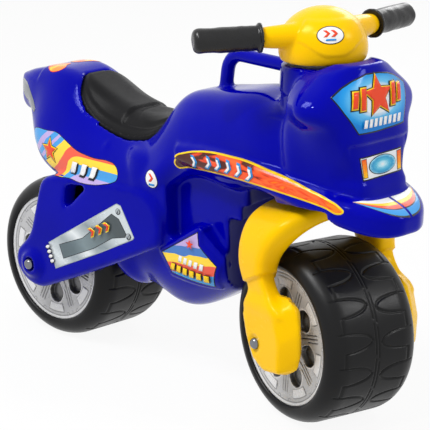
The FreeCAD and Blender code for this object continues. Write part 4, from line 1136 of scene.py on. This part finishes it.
def rim_painted_light(tree, base):
    """Painted light: painted shade in the slits, windows and grooves, painted highlight on the pads, lips
    and outer ring.
    """
    painted_light = node(tree, "ShaderNodeAttribute", attribute_name="painted_light").outputs["Fac"]
    return tinted(tree, painted_light, paint(16, 16, 17), base)


# The silver is darkened and lightened by the rim's painted shade and painted highlight.
rim_silver = plastic("rim_silver", paint(222, 222, 222), paint(238, 238, 238), (0.26, 0.40), bump=0.1,
                     colour=rim_painted_light, Metallic=0.15)
rim_shape = rim_mesh()
FRONT_WINDOW = math.radians(37.0)
REAR_WINDOW = math.radians(118.6)
for word, place, window, body in (("front", FRONT, FRONT_WINDOW, "front_wheel"),
                                  ("rear", REAR, REAR_WINDOW, "rear_wheel")):
    for side_word, side in (("right", -1), ("left", 1)):
        flip = Matrix.Scale(side, 4, Vector((0, 1, 0)))
        bm = bmesh.new()
        bm.from_mesh(rim_shape)
        bmesh.ops.transform(bm, matrix=place @ Matrix.Rotation(-window, 4, "Y") @ flip, verts=bm.verts)
        bmesh.ops.recalc_face_normals(bm, faces=bm.faces[:])
        finished("%s_disc_%s" % (word, side_word), bm, rim_silver, body, "rim_silver",
                 "%s_rim_%s" % (word, side_word))


# Fork: one blown arch of yellow plastic. Each leg ends in a thick cover round the axle with a
# flat leaf-shaped facet, and a seam runs round the leg below the shoulder.
FORK_VOXEL = 2.2 * MM
FOOT_FACET = [(-16, 53), (-26, 32.5), (-20, 6), (-6, -19), (15, -30), (48, -26), (52, 11), (44, 37), (5, 49)]
FOOT_BACK = [(-20, 55), (-32, 34), (-26, 4), (-10, -24), (14, -36), (40, -34), (61, -22), (67, -4), (67, 25),
             (61, 45), (53, 62), (44, 68), (10, 66)]
FOOT_INNER = [(-14, 50), (-24, 30), (-18, 0), (10, -28), (40, -26), (56, 0), (54, 50), (30, 62)]
FACET_PLACE = 104.8
FOOT_BACK_PLACE = 83.0
FOOT_INNER_PLACE = 73.0
LEG_CUT = 42.0
SEAM_LOW = (-25.0, 72.0)
SEAM_HIGH = (55.0, 108.0)
SEAM_STEP = 3.8
NUT_RECESS_RADIUS = 11.0
NUT_RECESS_DEPTH = 1.8
NUT_RECESS_EDGE = 1.2
LEG_INNER, LEG_OUTER = 74, 98
SEAM_FADE = (50, 66)
SHOULDER = 125
ARCH_ROUNDS = 16
FOOT_ROUNDS = 7

bm = blown("fork", outer_copy("fork"), FORK_VOXEL, ARCH_ROUNDS)
cut = bmesh.ops.bisect_plane(bm, geom=bm.verts[:] + bm.edges[:] + bm.faces[:], dist=1e-6,
                             plane_co=FRONT @ Vector((0, 0, LEG_CUT * MM)), plane_no=head,
                             clear_inner=True)
rims = [part for part in cut["geom_cut"] if isinstance(part, bmesh.types.BMEdge)]
bmesh.ops.holes_fill(bm, edges=rims, sides=0)
for side in (1, -1):
    foot = bmesh.new()
    for points, far in ((FOOT_FACET, FACET_PLACE), (FOOT_BACK, FOOT_BACK_PLACE),
                        (FOOT_INNER, FOOT_INNER_PLACE)):
        for x, z in points:
            foot.verts.new(Vector((x, side * far, z)) * MM)
    bmesh.ops.convex_hull(foot, input=foot.verts[:])
    bmesh.ops.transform(foot, matrix=FRONT, verts=foot.verts)
    bmesh.ops.recalc_face_normals(foot, faces=foot.faces[:])
    hull = mesh_from("foot", foot)
    bm.from_mesh(hull)
bm = blown("fork_whole", bm, FORK_VOXEL, FOOT_ROUNDS)
inverse = FRONT.inverted()
for vert in bm.verts:
    x, y, z = inverse @ vert.co / MM
    if abs(y) < LEG_INNER or z > SHOULDER:
        continue
    share = (x - SEAM_LOW[0]) / (SEAM_HIGH[0] - SEAM_LOW[0])
    seam = SEAM_LOW[1] + share * (SEAM_HIGH[1] - SEAM_LOW[1])
    sunk = SEAM_STEP * smoothstep(1.0, -1.0, z - seam) * smoothstep(*SEAM_FADE, z)
    if abs(y) > LEG_OUTER:
        sunk += NUT_RECESS_DEPTH * smoothstep(
            NUT_RECESS_RADIUS + NUT_RECESS_EDGE, NUT_RECESS_RADIUS - NUT_RECESS_EDGE, math.hypot(x, z))
    vert.co -= vert.normal * sunk * MM
bm.normal_update()
yellow = plastic("yellow_plastic", paint(252, 190, 0), paint(255, 206, 2), (0.22, 0.34), bump=0.06,
                 Specular_IOR_Level=0.22, Specular_Tint=(1.0, 0.80, 0.30, 1.0))
finished("fork_arch", bm, yellow, "steering", "yellow_plastic", "fork")


# Handlebar: a domed pod blown in one piece with its two swept arms. A shield-shaped lip stands
# out on the front of the pod, round an oval badge.
BAR_VOXEL = 2.0 * MM
SHIELD_TURN = math.radians(-20)
SHIELD_HALF = math.radians(50)
SHIELD_RISE = 1.7
SHIELD_FOOT, SHIELD_CROWN = 349, 390
SHIELD_LIFT = 16
POD_REACH = 56

bm = blown("bar", outer_copy("handlebar"), BAR_VOXEL, 6)
for vert in bm.verts:
    x, y, z = inverse @ vert.co / MM
    if math.hypot(x, y) > POD_REACH:
        continue
    around = abs(math.atan2(y, x) - SHIELD_TURN) / SHIELD_HALF
    foot = SHIELD_FOOT + SHIELD_LIFT * smoothstep(0.15, 1.0, around)
    inside = min((z - foot) / 2.5, (1.0 - around) * 12, (SHIELD_CROWN - z) / 4)
    vert.co += vert.normal * SHIELD_RISE * MM * smoothstep(-0.6, 0.9, inside)
bm.normal_update()
bar_skin = BVHTree.FromBMesh(bm)
finished("handlebar_pod", bm, yellow, "steering", "yellow_plastic", "handlebar")

BADGE_TURN = math.radians(-25)
BADGE_TILT = math.radians(28)
turned = FRONT.to_3x3()
badge_ahead = turned @ Vector((-math.cos(BADGE_TURN) * math.cos(BADGE_TILT),
                               -math.sin(BADGE_TURN) * math.cos(BADGE_TILT), -math.sin(BADGE_TILT)))
badge_right = (turned @ Vector((-math.sin(BADGE_TURN), math.cos(BADGE_TURN), 0))).normalized()
badge_up = badge_right.cross(badge_ahead)
badge_middle = FRONT @ (Vector((44.4, -20.6, 374.1)) * MM)
a, b = badge_middle.dot(badge_right) / MM, badge_middle.dot(badge_up) / MM
pod_layers = [
    layer(ellipse((a, b), (16.4, 11.2)), 1, border=1.1, fine=3.0),
    sharp(chevron((a - 4.5, b + 1.5), (4.2, 4.2)), 2),
    sharp(chevron((a + 4.5, b + 1.5), (4.2, 4.2)), 2),
    sharp(slanted_bar((a, b - 6.0), (6.0, 1.0), 0.4), 3),
]
sticker("pod_badge", (badge_ahead, badge_right), pod_layers, [dark_ink, white_ink, red_ink, sky_ink],
        skin=bar_skin, body="steering", slot="yellow_plastic")

# Grips: soft black sleeves pushed over the bar's ends, with a collar inside and a closed end.
GRIP_VOXEL = 1.2 * MM
GRIP_SAG = 1.1
RIPPLE_COARSE, RIPPLE_FINE = 45, 110
RIPPLE_SHARE = 0.35

grip_rubber = plastic("grip_rubber", paint(16, 16, 17), paint(24, 24, 25), (0.24, 0.36), grain=1300.0,
                      bump=0.2, Specular_IOR_Level=0.35)
for word in ("left", "right"):
    bm = blown("grip", outer_copy("grip_" + word), GRIP_VOXEL, 3)
    for vert in bm.verts:
        ripple = noise.noise(vert.co * RIPPLE_COARSE) + RIPPLE_SHARE * noise.noise(vert.co * RIPPLE_FINE)
        vert.co -= vert.normal * GRIP_SAG * MM * min(max(ripple + RIPPLE_SHARE, 0.0), 1.0)
    bm.normal_update()
    finished("grip_sleeve_" + word, bm, grip_rubber, "steering", "grip_rubber", "grip_" + word)
